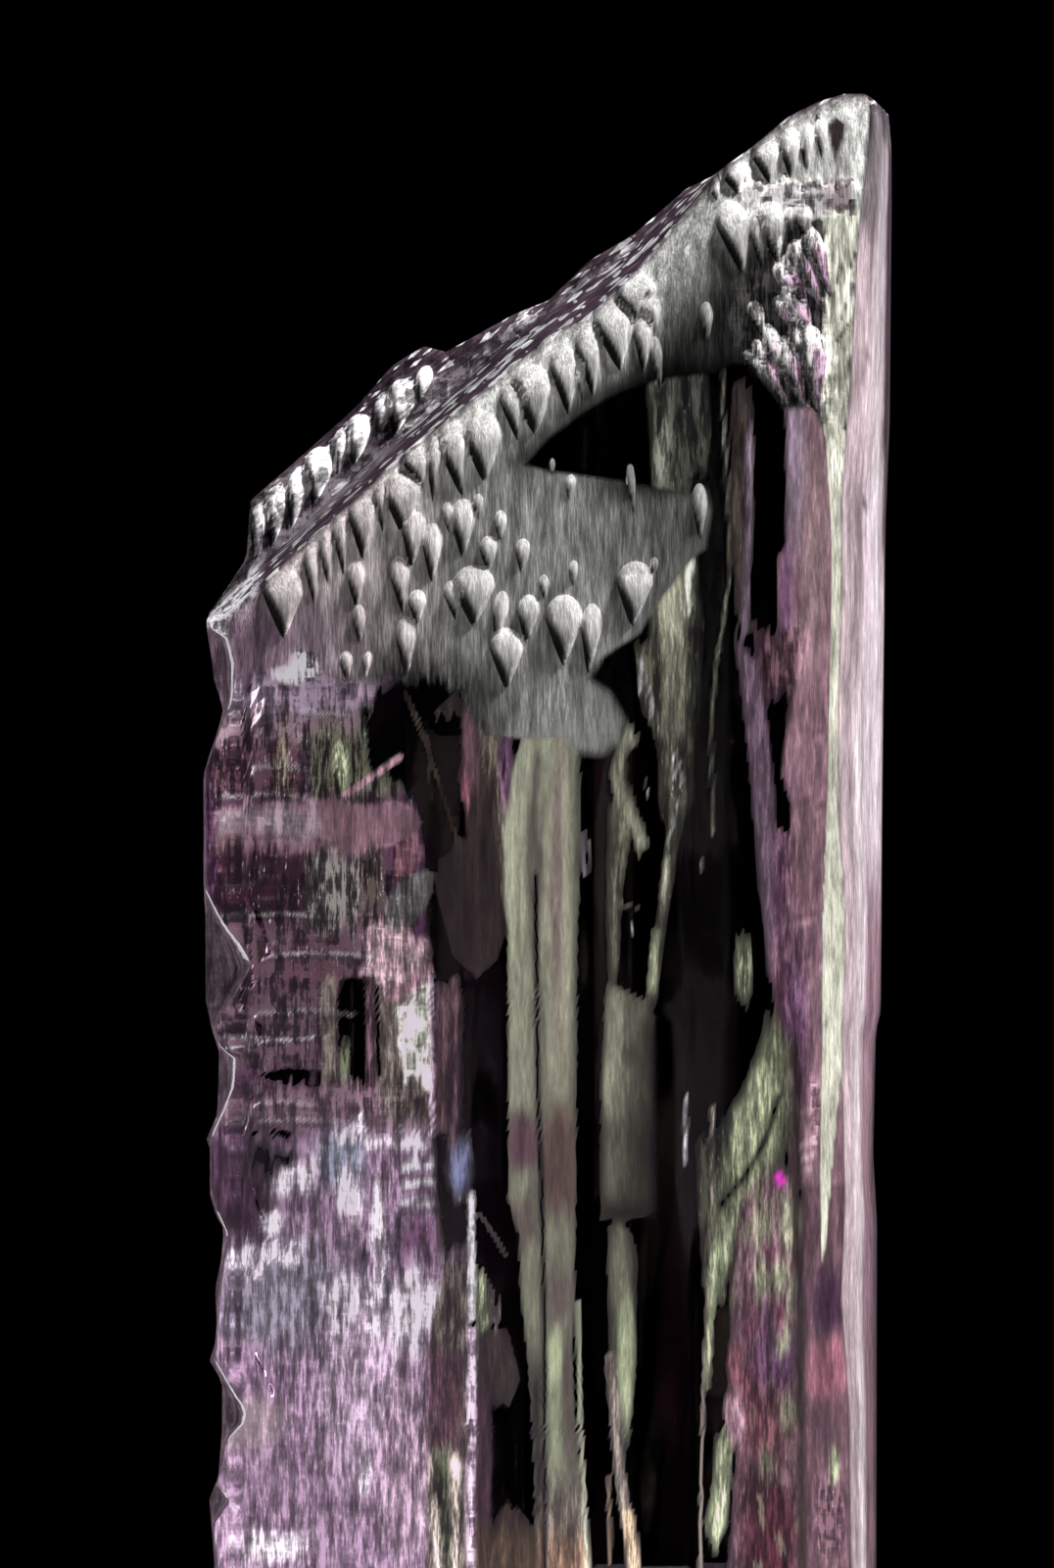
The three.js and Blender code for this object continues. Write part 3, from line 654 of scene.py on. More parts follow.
for left, low, right in ((-32.4, 88.5, -28.6), (-30.0, 87.6, -27.2), (-32.6, 86.9, -29.8),
                         (-30.8, 85.4, -26.4)):
    lay(line([(left, low), (right, low + 0.25)], 0.03, 0.30), SILVER, 0.06)
lay(shape([(-16.8, 84.4), (-16.2, 86.2), (-14.8, 87.6), (-12.8, 88.4), (-12.0, 88.0), (-12.2, 86.0),
           (-13.2, 83.8), (-15.0, 81.8), (-16.4, 81.4), (-16.8, 82.8)], 0.8), (1.0, 0.94, 0.95), 0.115,
    streaks=0.9, blocks=0, glints=0.2)
facet([(-36, 82.6), (-22, 83), (-14, 82.5), (-12, 79), (-16, 76), (-24, 77), (-36, 76)], 1.5,
      (1.0, 0.64, 0.78), 0.055, streaks=1.1, blocks=1.1, glints=0.25)
facet([(-18, 82.6), (-15, 83), (-12.2, 80.6), (-12.4, 77), (-15, 75.6), (-19.4, 78)], 0.9,
      (1.0, 0.68, 0.78), 0.30, streaks=0.9, blocks=0.3)
facet([(-28, 79), (-21.4, 82.5), (-21.4, 74.5), (-26, 75)], 1.0, MAUVE, 0.05, blocks=1.4, glints=0.15)
facet([(-17.6, 76.4), (-15.6, 75.6), (-12.2, 77), (-12.3, 65.4), (-17.6, 65.0)], 0.8, UMBER, 0.13,
      streaks=1.0, blocks=0)
facet([(-15.6, 75.0), (-13.2, 76.4), (-12.5, 76), (-12.5, 65.8), (-15.0, 65.8), (-15.6, 70)], 0.6,
      (1.0, 0.98, 0.86), 0.62, streaks=0.6, blocks=0.6)
lay(line([(-16.2, 75.2), (-12.4, 78.2)], 0.55), MAUVE, 0.26, blocks=0)
lay(broken * shape([(-22.0, 75), (-21.0, 77.4), (-18.9, 77.5), (-18.7, 65.6), (-21.8, 65.2)], 0.5), UMBER,
    0.018, streaks=2.6, blocks=0)
lay(broken * spot(-21, 68, 0.5, 3), PALE_GREEN, 0.10)
lay(broken * shape([(-18.7, 77), (-18.0, 77), (-17.8, 65.6), (-18.6, 65.6)], 0.4), MAUVE, 0.10, blocks=0)
lay(broken * shape([(-18.0, 76.6), (-17.4, 76.6), (-17.2, 67), (-17.8, 67)], 0.4), UMBER, 0.018, blocks=0)
facet([(-23.6, 77), (-22.0, 77), (-21.8, 60), (-23.4, 60)], 0.6, UMBER, 0.12, streaks=0.9, blocks=0)
facet([(-33.6, 76), (-24, 76), (-23.6, 68), (-34, 69)], 1.4, (1.0, 0.66, 0.84), 0.055, streaks=1.2,
      blocks=0.9, glints=0.2)
lay(line([(-32.4, 71.4), (-29, 71.0), (-26.6, 70.9), (-24, 71.2)], 0.05, 0.3), SILVER, 0.30)
lay(line([(-32.4, 70.0), (-30, 70.6), (-27.4, 70.9)], 0.05, 0.3), SILVER, 0.26)
lay(broken * shape([(-30.2, 67.3), (-27, 68.0), (-23.4, 67.8), (-23.4, 66.0), (-27, 66.2)], 0.6), UMBER,
    0.01)
facet([(-34, 66), (-24, 66.5), (-12.4, 65.4), (-12.4, 61.5), (-24, 62), (-34, 63.5)], 1.2,
      (1.0, 0.64, 0.82), 0.10, streaks=1.0, blocks=0.6)
facet([(-17.4, 65.4), (-12.4, 65.4), (-12.4, 61.5), (-15, 62.0)], 1.0, UMBER, 0.12, blocks=0.3)
facet([(-15.2, 64.6), (-12.4, 65.0), (-12.4, 62.4), (-15.0, 62.6)], 0.8, UMBER, 0.045, blocks=0.3)
lay(broken * shape([(-31.6, 61.2), (-29, 62.0), (-23.4, 61.0), (-23.4, 60.2), (-30, 60.4)], 0.7), UMBER,
    0.012)
for left, right, cz in ((-34, -21, 104.6), (-33, -25, 96.0), (-33, -22, 83.6), (-30, -20, 73.6),
                        (-31, -24, 64.2), (-32, -21, 62.4), (-31, -24, 98.9), (-29, -18, 79.6)):
    middle = (left + right) / 2
    lay(broken * line([(left, cz), (middle, cz + 0.35), (right, cz - 0.1)], 0.05, 0.4), SILVER, 0.22)
    lay(broken * line([(left, cz - 0.5), (middle, cz - 0.1), (right, cz - 0.6)], 0.12, 0.4), NEUTRAL,
        0.02)
foot = broken * region([(-36, 61), (-28, 60.5), (-19, 62.6), (-8, 61.5), (-8, -12), (-36, -12)], 1.6)
lay(foot, (1.0, 0.66, 0.97), 0.18, streaks=1.2, blocks=0.35, glints=0.35, flecks=0)
lay(foot * spot(-32, 56, 4.2, 9.5), (1.0, 0.62, 0.92), 0.034, blocks=0.35, glints=0.06)
lay(foot * spot(-28.5, 59, 3.0, 1.8), (0.7, 0.7, 0.8), 0.026)
lay(foot * spot(-26, 43, 6.5, 6.5), (0.88, 0.78, 1.0), 0.17, glints=0.1, blocks=0.4)
lay(foot * spot(-17.5, 41.5, 5.0, 4.6), (1.0, 0.84, 1.0), 0.42, glints=0.5)
lay(foot * spot(-21.5, 58.5, 2.4, 3.0), (0.70, 0.72, 0.95), 0.20)
for cx, cz, rx, rz in (
        (-26.2, 56.4, 2.0, 1.6), (-28.6, 52.0, 1.0, 1.4), (-19.4, 61.0, 2.4, 1.0), (-14.6, 60.6, 2.2, 0.9),
        (-20.6, 55, 1.2, 2.4), (-17.6, 52, 0.7, 3.4), (-28.8, 48.4, 3.2, 1.0), (-21.4, 44.0, 2.0, 1.9),
        (-18.4, 41.5, 0.7, 4.4), (-14.6, 43.2, 1.6, 3.2), (-12.0, 44.0, 1.0, 2.4), (-22.0, 39.6, 0.8, 2.0),
        (-17.0, 45.8, 0.5, 3.2), (-19.8, 36.0, 1.0, 1.4), (-28.0, 18.6, 3.2, 1.3), (-12.8, 25.5, 0.8, 5.0),
        (-19.0, 26, 0.6, 2.2), (-21.0, 31, 0.6, 2.4)):
    lay(foot * spot(cx, cz, rx, rz), (1.0, 0.86, 1.0), 0.68 - 0.24 * (cz > 52), streaks=1.4, blocks=0.6,
        glints=1.0)
for cz in (57.6, 56.0, 54.0):
    lay(line([(-15.0, cz), (-12.4, cz + 0.2), (-11.0, cz)], 0.25, 0.4), SILVER, 0.60, blocks=0.4)
lay(foot * spot(-13.5, 50.6, 1.8, 2.0), PURPLE, 0.10, glints=0.1)
for cx, cz, rz in ((-19.1, 45, 4.5), (-16.6, 44, 5.5), (-15.5, 50, 2.5), (-10.6, 47, 3.5), (-17.9, 36, 2)):
    lay(line([(cx, cz + rz), (cx - 0.1, cz - rz)], 0.3, 0.5), (0.5, 0.45, 0.6), 0.06)
lay(foot * region([(-36, 40), (-8, 37.6), (-8, 28), (-36, 30)], 2.0), (1.0, 0.64, 0.97), 0.20,
    streaks=1.2, blocks=0.35, glints=0.3)
lay(foot * spot(-20.0, 35, 4.4, 8.0, 1.2), (1.0, 0.72, 0.98), 0.30, glints=0.45)
lay(foot * spot(-30.0, 31.6, 2.8, 2.6), (1.0, 0.72, 0.86), 0.28, streaks=0.4, blocks=0.2)
lay(foot * spot(-14.5, 27, 3.2, 9), (1.0, 0.68, 0.92), 0.26, streaks=1.3, blocks=0.2)
crumbly = broken * ease((z - 62) / 3)
marks["streaks"] *= 1 + 0.3 * crumbly
marks["blocks"] += 0.35 * crumbly * (1 - broken * upper_band)
marks["glints"] += 0.16 * crumbly * (1 - broken * upper_band)
# Beside it a striped dark column, greenish strips at the foot and an upright rim with painted glints.
lay(region([(-12.6, -12), (-12.6, 24), (-12.2, 40), (-11.0, 48), (-8.4, 48), (-8.4, -12)], 0.7), UMBER,
    0.09, streaks=1.9, blocks=0.2, glints=0.1)
lay(region([(-12.6, 39), (-9.0, 39), (-9.0, 28.5), (-12.6, 28.5)], 1.2), MAUVE, 0.07, streaks=1.0)
lay(region([(-12.3, 28), (-9.0, 28), (-9.0, -12), (-11.4, -12)], 0.7), UMBER, 0.50, streaks=1.4, blocks=0)
lay(region([(-12.4, 28.6), (-10.2, 28.6), (-9.9, 20), (-10.3, 14), (-11.0, 17)], 0.9), (0.9, 1.0, 0.7),
    0.05, streaks=2.4)
lay(region([(-12.0, 78), (-11.8, 60), (-11.5, 49), (-7.6, 49), (-7.4, 76)], 0.8), UMBER, 0.022,
    streaks=1.6, blocks=0)
lay(line([(-9.6, 77), (-9.7, 60)], 0.4, 0.9), MAUVE, 0.09, streaks=1.5)
lay(line([(-11.0, 76), (-11.2, 62)], 0.6, 0.9), MAUVE, 0.085, streaks=1.2)
lay(spot(-9.2, 57.6, 1.2, 3.2), (0.58, 0.60, 1.0), 0.17, streaks=1.2)
lay(line([(-12.1, 77.5), (-12.0, 61)], 0.16, 0.25), LILAC, 0.55, streaks=0.8, blocks=0)
lay(line([(-7.9, 55), (-7.9, 42)], 0.32, 0.3), SILVER, 0.50, streaks=1.0, blocks=0.6)
lay(line([(-7.9, 41), (-7.9, -12)], 0.42, 0.3), LILAC, 0.42, streaks=1.3, blocks=1.2, glints=0.5)
# Between the left side and the channels: dark lobes, small chips, and a brown warmth at the foot.
lay(shape([(-12.6, 104), (-9.5, 107), (-7.4, 103), (-5.3, 92), (-4.3, 82), (-5.2, 79), (-7.4, 77),
           (-10.0, 79.5), (-11.6, 86)], 0.8), UMBER, 0.028, streaks=0.7)
lay(region([(-12.4, 104), (-9.0, 104), (-8.6, 92), (-11.6, 89)], 0.8), GREEN_GREY, 0.014, streaks=1.3)
lay_spots(back, (-8.1, 100.5, 0.8, 4.4, MAUVE, 0.10), (-8.6, 97.4, 0.6, 1.2, ROSE, 0.16))
lay(line([(-14.8, 106.8), (-12.6, 101.6), (-9.4, 91.4)], 0.16, 0.45), PEACH, 0.045)
lay(region([(-7.5, 47), (-6.6, 46.8), (-6.2, 41.5), (-7.4, 40)], 0.5), PALE_GREEN, 0.34, streaks=1.8)
lay(region([(-6.4, 46), (-5.2, 44), (-5.0, 41.4), (-6.2, 41.4)], 0.5), UMBER, 0.14, streaks=2)
lay(shape([(-7.4, 40.6), (-4.2, 41), (-2.9, 36), (-4.0, 33.0), (-5.6, 32.6), (-7.4, 34)], 0.6), UMBER,
    0.035, streaks=0.8)
lay(line([(-7.2, 53), (-5.6, 50.8), (-4.3, 48.6)], 0.2), UMBER, 0.07)
lay(region([(-7.4, 33), (-2.4, 33), (-1.6, -12), (-7.4, -12)], 1.4), UMBER, 0.016, streaks=0.8)
lay(spot(-6.9, 26, 0.8, 9), MAUVE, 0.05)
lay(region([(-7.4, 20.5), (-1.2, 20.5), (-1.2, -12), (-7.4, -12)], 2.0), PEACH, 0.06)

# The etched front, its light and shade painted in: painted light brightest along its rounded upper
# edge, and painted shade below, towards the right and around the dark window.
# The hillocks' and petals' painted light and shade.
edge, relief, lit_tone, _ = hillock_fields(x, z, HILLOCKS)
petal_edge, _, petal_lit_tone, petal_across = hillock_fields(x, z, PETALS)
below_edge = np.interp(x, TERMINATION[:, 0], TERMINATION[:, 1]) - z
over_window = ease((z - 124) / 4)
painted_shade = 1 - over_window * 0.93 * ease((x - 1) / 8) * ease((below_edge - 2) / 13)
painted_shade *= 1 - (1 - over_window) * 0.6 * ease((x - 2) / 12)
window = distance_inside(x, z, [(-3, 129.4), (0, 132.7), (4, 135.6), (7.3, 137.4), (11.6, 138.6),
                                (20, 139), (16, 127.5)])
painted_shade *= 1 - 0.85 * ease(1 + window / 3.5) * ease((z - 128) / 3)
ground = (0.29 + 0.44 * ease(1 - below_edge / 14)) * painted_shade
ground += 0.16 * ease(1 - below_edge / 3)
ground *= 1 + 0.24 * random_field(1.5, 9, 9) + 0.20 * random_field(0.7, 5, 10)
near_tip = z > 155
painted_shade = np.where(near_tip & (x > 15), 1, painted_shade)
ground = np.where((z > LEDGE_Z) | (near_tip & (x > 15)), 0.72, ground)
# The hillocks' painted light and shade is dimmed by the face's painted shade and lifted near the tip.
lit_tone *= (0.37 + 0.48 * np.maximum(painted_shade, ease((relief - 0.2) / 0.5))) * (1 + 0.35 * near_tip)
softness = 2.5 + 5 * ease((-6 - x) / 6) * ease((118 - z) / 8) + 4 * ease((x + 1) / 4) * ease((112 - z) / 6)
inner = distance_inside(x, z, ETCHED_ZONE)
etched = front * ease(inner / softness + 0.5)
is_front = front > 0
colour_and_light[is_front] = np.outer(ground, (0.98, 0.97, 0.93))[is_front]
drop_colour_and_light[is_front] = np.outer(lit_tone, (1.0, 0.98, 0.95))[is_front]
marks["drop"][is_front] = edge[is_front]
lay(etched, frost=1, streaks=0.56)
lay(front * ease(edge / 0.3 + 0.5), streaks=0.40)
lay(front * np.clip(4 * etched * (1 - etched), 0, 1) * ease((-3 - x) / 6), streaks=1.1)
lay(front * ease((-14 - x) / 16) * ease((124 - z) / 12), LILAC, 0.22)
warm = 1 - np.outer(ease((-8 - x) / 12), (0.0, 0.10, 0.07))
colour_and_light[is_front] *= warm[is_front]
drop_colour_and_light[is_front] *= warm[is_front]
fading = 1 - 0.75 * ease(1 - inner / 5.5) * ease((116 - z) / 4) * ease((x + 22) / 5) * ease((-3 - x) / 4)
colour_and_light[is_front] *= fading[is_front, None]
petal = is_front & (petal_edge > edge)
marks["drop"][petal] = petal_edge[petal]
# Petals: grey on their left and lilac on their right, both with painted light and shade.
lilac_share = ease((petal_across + 0.15) / 0.25)[:, None] * ease((0.95 - petal_lit_tone) / 0.2)[:, None]
lit_grey = np.outer(0.10 + 0.48 * petal_lit_tone ** 1.5, (1.0, 0.98, 0.96))
lilac = np.outer(0.14 + 0.22 * petal_lit_tone, (1.0, 0.66, 0.88))
drop_colour_and_light[petal] = (lit_grey + lilac_share * (lilac - lit_grey))[petal]
lay(shape([(18, 146), (23, 153), (28.4, 155), (29, 134), (22, 134)], 2, front), (1.0, 0.94, 0.92), 0.04,
    streaks=1.6, blocks=0.8)
# The ledge's chips, and the white crust at the left end.
chips = shape([(18.4, 158.6), (31.0, 159.0), (31.2, 155.4), (26, 155.6), (19, 157.2)], 1.0, front)
lay(chips, (1.0, 0.94, 0.96), 0.36, blocks=1.4, streaks=0.3)
lay(chips * ease((x - 26.5) / 3), (1.0, 0.80, 0.86), 0.17, blocks=1.6)
lay(shape([(-28.4, 108.8), (-26.6, 109.4), (-25.8, 110.9), (-24.2, 110.6), (-23.2, 108.8), (-23.8, 107.8),
           (-25.6, 107.4), (-28.2, 107.9)], 0.9, front), SILVER, 0.30, frost=0.66, streaks=2.6,
    blocks=2.6)
lay(shape([(-35.6, 117.4), (-33.6, 118.4), (-32.6, 115.0), (-33.0, 111.4), (-34.4, 110.6),
           (-35.0, 113.0)], 0.8, front), SILVER, 0.50, frost=0.8, streaks=0.8, blocks=1.7)
# The pale green streak along the corner, fibrous near the top.
streak = front * channel([(47, 27.9, 28.0), (52, 27.8, 28.5), (57, 27.7, 28.9), (70, 27.9, 30.1),
                          (84, 28.0, 30.3), (101, 28.6, 29.7), (122, 28.9, 30.0), (131, 28.4, 30.5),
                          (137, 28.0, 31.0), (156, 28.4, 31.9)], 47.5, 155.5, 0.4)
lay(streak, (1.0, 0.99, 0.82), 0.98, frost=1, streaks=0.5, flecks=0)
lay(streak * ease((z - 126) / 4), (1.0, 0.99, 0.84), 0.95, streaks=0.9)
for route in ([(29.9, 150.2), (29.4, 148.4)], [(31.4, 151.6), (30.8, 150.0)],
              [(31.2, 148.4), (30.9, 147.2)], [(30.8, 144.4), (29.5, 142.6)],
              [(29.2, 147.6), (29.0, 144.6)], [(30.3, 146.2), (30.0, 144.8)],
              [(30.8, 135.2), (30.2, 133.6)], [(30.9, 141.0), (30.5, 139.0)]):
    lay(line(route, 0.14, 0.3, front), (1.0, 0.90, 0.86), 0.06)
# A dark drop-shaped pit at the tip.
lay(shape([(28.5, 164.6), (29.4, 165.6), (30.4, 164.8), (30.2, 163.2), (29.6, 161.6), (29.6, 159.2),
           (29.2, 161.0), (28.8, 162.8)], 0.4, front), (1.0, 0.70, 0.75), 0.045, streaks=0)
# The bevelled faces down the right side: a bright strip with a painted highlight, outer faces in
# painted shade where they turn to the back, and a darker rim.
corner_x = along(RIGHT_CORNER, z)
side_share = np.clip((x - corner_x) / (along(RIGHT_OUTLINE, z) - corner_x), 0, 1)
side = (right_side | (is_front & (x > corner_x - 0.1))).astype(float)
stripes = 1 + 0.30 * random_field(0.5, 60, 5) + 0.18 * random_field(0.3, 14, 6)
lay(side, (1.0, 0.77, 0.84), 0.44, frost=1, streaks=0.4, drop=OUTSIDE)
lay(side * ease((side_share - 0.45) / 0.12), (1.0, 0.84, 0.92), 0.36)
lay(side * ease((side_share - 0.45) / 0.15) * ease((96 - z) / 16), (1.0, 0.62, 0.76), 0.17)
lay(side * spot_share(side_share, 0.40, 0.13) * ease((112 - z) / 10), (1.0, 0.86, 0.90), 0.58)
lay(side * spot_share(side_share, 0.40, 0.10) * ease((z - 145) / 5), (1.0, 0.82, 0.90), 0.16)
lay(side * ease((z - 151) / 5) * ease((0.62 - side_share) / 0.2), (1.0, 0.84, 0.90), 0.15)
rim_from = 0.93 - 0.17 * ease((z - 114) / 30) - 0.10 * ease((84 - z) / 30)
lay(side * ease((side_share - rim_from) / 0.05), (1.0, 0.70, 0.85), 0.04)
lay(side * ease((z - 161.5) / 3) * ease((side_share - 0.4) / 0.2), (1.0, 0.90, 0.95), 0.07)
lay(side * ease((spots[:, 1] - 0.6) / 0.1), PURPLE, 0.06)
lay(line([(33.3, 168.2), (32.9, 165.0), (32.5, 161.6)], 0.16, 0.3, np.maximum(front, side)), NEUTRAL,
    0.008, streaks=0)
for cx, cz in ((31.3, 136.5), (32.8, 141.6), (32.4, 126.0), (32.3, 106.0)):
    lay(line([(cx, cz), (cx, cz - 0.6)], 0.07, 0.25, side), (1.0, 0.60, 0.80), 0.06)
stripes *= 1 + 0.12 * ease((122 - z) / 8) * ease((z - 84) / 8) - 0.24 * ease((50 - z) / 14)
colour_and_light[side > 0] *= stripes[side > 0, None]
# The termination: dark polished steps with frosted flecks, and the satin ridge behind, its hillocks
# with painted light and shade, darker at the left end.
strip = (top & (y < RIDGE_FOOT)).astype(float)
ridge = (top & (y >= RIDGE_FOOT)).astype(float)
lay(top.astype(float), (1.0, 0.64, 0.92), 0.065, frost=0.8, grain=1.6, flecks=1)
lay(strip * ease((y + 5) / 3) * ease((-14 - x) / 3) * ease((x + 29) / 3), (1.0, 0.84, 0.95), 0.19,
    flecks=0.4)
lay(strip * ease((-29.0 - x) / 1.5), SILVER, 0.30, blocks=2.2, flecks=0.4, grain=0.6)
drop_colour_and_light[top] = 0.50
ridge_edge, _, ridge_lit_tone, _ = hillock_fields(x, z, RIDGE_HILLOCKS)
lay(ridge, (1.0, 0.84, 0.95), 0.11, frost=0.9, flecks=0.3, blocks=1.2)
lay(ridge * ease((y - CREST + 1.1) / 0.6), (1.0, 0.66, 0.90), 0.05, flecks=1, blocks=0.5)
on_ridge = ridge > 0
marks["drop"][on_ridge] = ridge_edge[on_ridge]
ridge_glow = (1.05 - 0.60 * ease((-26.5 - x) / 2.5)) * ridge_lit_tone
drop_colour_and_light[on_ridge] = np.outer(ridge_glow, (0.95, 0.91, 0.93))[on_ridge]
marks["drop"][strip > 0] = OUTSIDE
lay(left_side.astype(float), (1.0, 0.70, 0.90), 0.14, frost=1, streaks=0.6, blocks=0.3)
# Chipped rims that catch the light down the front face's left edge: z from, z to.
for low_z, high_z in ((104.4, 113.6), (79.3, 86.2), (61.0, 71.2), (51.6, 53.6), (29.9, 38.4), (24, 25.4)):
    lay(front * (spots[:, 0] < TINY) * (z > low_z) * (z < high_z), rims=1)
lay(front * top * ease(2.5 * random_field(1.3, 50, 8)), rims=0.85)

# The back is satin wherever it glows and over most of the plateau, and polished elsewhere, with its
# darkness painted into its tint. It is never frosted.
SCATTERED = 0.010  # how bright the satin shows by itself, whatever its tint
glowing = np.maximum(ease((colour_and_light.max(1) - DARK) / 0.02), plateau * ease((13 - x) / 4))
marks["satin"] = back * (0.45 + 0.55 * glowing)
marks["frost"][back > 0] = -1
colour_and_light[back > 0] = (colour_and_light - SCATTERED).clip(0.003)[back > 0]

for name, values in marks.items():
    layer = crystal_mesh.attributes.new(name, "FLOAT", "POINT")
    layer.data.foreach_set("value", values.astype(np.float32))
for name, values in (("colour_and_light", colour_and_light), ("drop_colour_and_light", drop_colour_and_light)):
    layer = crystal_mesh.attributes.new(name, "FLOAT_COLOR", "POINT")
    layer.data.foreach_set("color", np.column_stack([values, np.ones(len(x))]).astype(np.float32).ravel())

# --- The kunzite itself ------------------------------------------------------------------------
# Clear lilac kunzite. Where its surface is etched it turns satin, and where it is etched deeply
# it scatters the light like frost. Fine upright streaks run through both.
kunzite = bpy.data.materials.new("kunzite")
kunzite.use_nodes = True
nodes, links = kunzite.node_tree.nodes, kunzite.node_tree.links
nodes.clear()


def attribute(name, output="Fac"):
    """A value that the mesh carries at its points."""
    found = nodes.new("ShaderNodeAttribute")
    found.attribute_name = name
    return found.outputs[output]


def calculate(operation, *values):
    """A Math node on sockets and plain numbers."""
    made = nodes.new("ShaderNodeMath")
    made.operation = operation
    for socket, value in zip(made.inputs, values):
        if isinstance(value, (int, float)):
            socket.default_value = value
        else:
            links.new(value, socket)
    return made.outputs[0]


def smooth_step(value, low, high):
    """0 to 1, smoothly, as a value goes from low to high."""
    made = nodes.new("ShaderNodeMapRange")
    made.interpolation_type = "SMOOTHSTEP"
    links.new(value, made.inputs["Value"])
    made.inputs["From Min"].default_value = low
    made.inputs["From Max"].default_value = high
    return made.outputs["Result"]


def mix_colour(factor, a, b, blend="MIX"):
    """A Mix node on two colours, each a socket or a plain colour."""
    made = nodes.new("ShaderNodeMix")
    made.data_type = "RGBA"
    made.blend_type = blend
    for socket, value in ((made.inputs["Factor"], factor), (made.inputs[6], a), (made.inputs[7], b)):
        if isinstance(value, (tuple, float)):
            socket.default_value = value
        else:
            links.new(value, socket)
    return made.outputs[2]


def grey(value):
    """A value as a colour."""
    made = nodes.new("ShaderNodeCombineColor")
    for socket in made.inputs:
        links.new(value, socket)
    return made.outputs[0]


place_of = nodes.new("ShaderNodeTexCoord").outputs["Object"]


def scaled(per_mm, lean=0.0):
    """Object coordinates, leaned over to the right, with so many units a millimetre each way."""
    turn = nodes.new("ShaderNodeMapping")
    turn.inputs["Rotation"].default_value = (0, lean, 0)
    links.new(place_of, turn.inputs["Vector"])
    mapping = nodes.new("ShaderNodeMapping")
    mapping.inputs["Scale"].default_value = [n / MM for n in per_mm]
    links.new(turn.outputs["Vector"], mapping.inputs["Vector"])
    return mapping.outputs["Vector"]


def noise(per_mm, detail=3.0, roughness=0.6, lean=0.0):
    """Noise about -1 to 1."""
    made = nodes.new("ShaderNodeTexNoise")
    made.inputs["Scale"].default_value = 1.0
    made.inputs["Detail"].default_value = detail
    made.inputs["Roughness"].default_value = roughness
    links.new(scaled(per_mm, lean), made.inputs["Vector"])
    return calculate("MULTIPLY_ADD", made.outputs["Fac"], 4.0, -2.0)


def cells(per_mm, metric="CHEBYCHEV", lean=0.0):
    """Cells: how far each point is from its cell's middle, and a value 0 to 1 for each cell."""
    made = nodes.new("ShaderNodeTexVoronoi")
    made.distance = metric
    made.inputs["Scale"].default_value = 1.0
    links.new(scaled(per_mm, lean), made.inputs["Vector"])
    split = nodes.new("ShaderNodeSeparateColor")
    links.new(made.outputs["Color"], split.inputs["Color"])
    return made.outputs["Distance"], split.outputs["Red"]


# Streaks up the crystal, dashes, cleavage steps with cracks between them, and flecks.
LEAN = 0.66  # how far the termination's grain leans over
fine = noise((4.2, 4.2, 0.5), 4, 0.7)
coarse = noise((1.2, 1.2, 0.17), 3, 0.6)
dashes = calculate("MULTIPLY", calculate("ADD", fine, coarse), 0.8)
level_bands = noise((0.12, 0.12, 0.9), 3, 0.6)
step_distance, step_value = cells((0.9, 0.5, 0.5))
steps = calculate("MULTIPLY_ADD", step_value, 2.0, -1.0)
cracks = smooth_step(calculate("MULTIPLY_ADD", fine, 0.03, step_distance), 0.40, 0.47)
small_steps = noise((1.7, 1.7, 1.3), 4, 0.7)
step_pattern = calculate("ADD", calculate("ADD", steps, small_steps), calculate("ADD", level_bands, cracks))
fleck_distance, fleck_value = cells((0.42, 0.36, 1.8), "MANHATTAN", LEAN)
clusters = noise((0.22, 0.22, 0.22), 2, 0.5)
fleck_size = calculate("MULTIPLY_ADD", clusters, 0.22, calculate("MULTIPLY_ADD", fleck_value, 1.0, -0.10))
fleck = smooth_step(calculate("SUBTRACT", fleck_size, fleck_distance), 0.0, 0.06)
mottle = noise((0.7, 0.7, 0.22), 2, 0.5)
green_fleck = smooth_step(calculate("ADD", mottle, calculate("MULTIPLY", fine, 0.5)), 0.15, 0.75)

# Brightness of the surface's own pattern, in stops, and the tints of what lies on it: flecks,
# painted glints and painted highlights along the rims.
GLINT_TINT, FLECK_TINT, RIM_TINT = (0.95, 0.92, 0.98, 1), (0.42, 0.42, 0.27, 1), (0.90, 0.86, 0.90, 1)
streaky = calculate("MULTIPLY", dashes, attribute("streaks"))
blocky = calculate("MULTIPLY", step_pattern, attribute("blocks"))
grainy = calculate("MULTIPLY", noise((0.4, 0.4, 3.6), 3, 0.7, LEAN), attribute("grain"))
uneven = calculate("MULTIPLY_ADD", blocky, 1.1, grainy)
stops = calculate("ADD", calculate("MULTIPLY", streaky, 2.3), uneven)
strength = grey(calculate("POWER", 2.0, calculate("MINIMUM", stops, 1.5)))
# The tint carries painted light and shade as well as colour.
tint = mix_colour(1.0, attribute("colour_and_light", "Color"), strength, "MULTIPLY")
glitter = smooth_step(calculate("ADD", fine, calculate("MULTIPLY", small_steps, 0.4)), 0.55, 0.85)
tint = mix_colour(calculate("MULTIPLY", glitter, attribute("glints")), tint, GLINT_TINT)
green_tint = mix_colour(calculate("MULTIPLY", green_fleck, attribute("flecks")), tint, FLECK_TINT)
on_drop = smooth_step(attribute("drop"), -0.05, 0.05)
raised = calculate("MAXIMUM", on_drop, calculate("MULTIPLY", fleck, attribute("flecks")))
# The hillocks' tint, with their painted light and shade.
drop_tint = mix_colour(1.0, attribute("drop_colour_and_light", "Color"), strength, "MULTIPLY")
rim = smooth_step(calculate("MULTIPLY_ADD", small_steps, 0.22, attribute("rims")), 0.45, 0.70)
white_tint = mix_colour(rim, mix_colour(raised, tint, drop_tint), RIM_TINT)

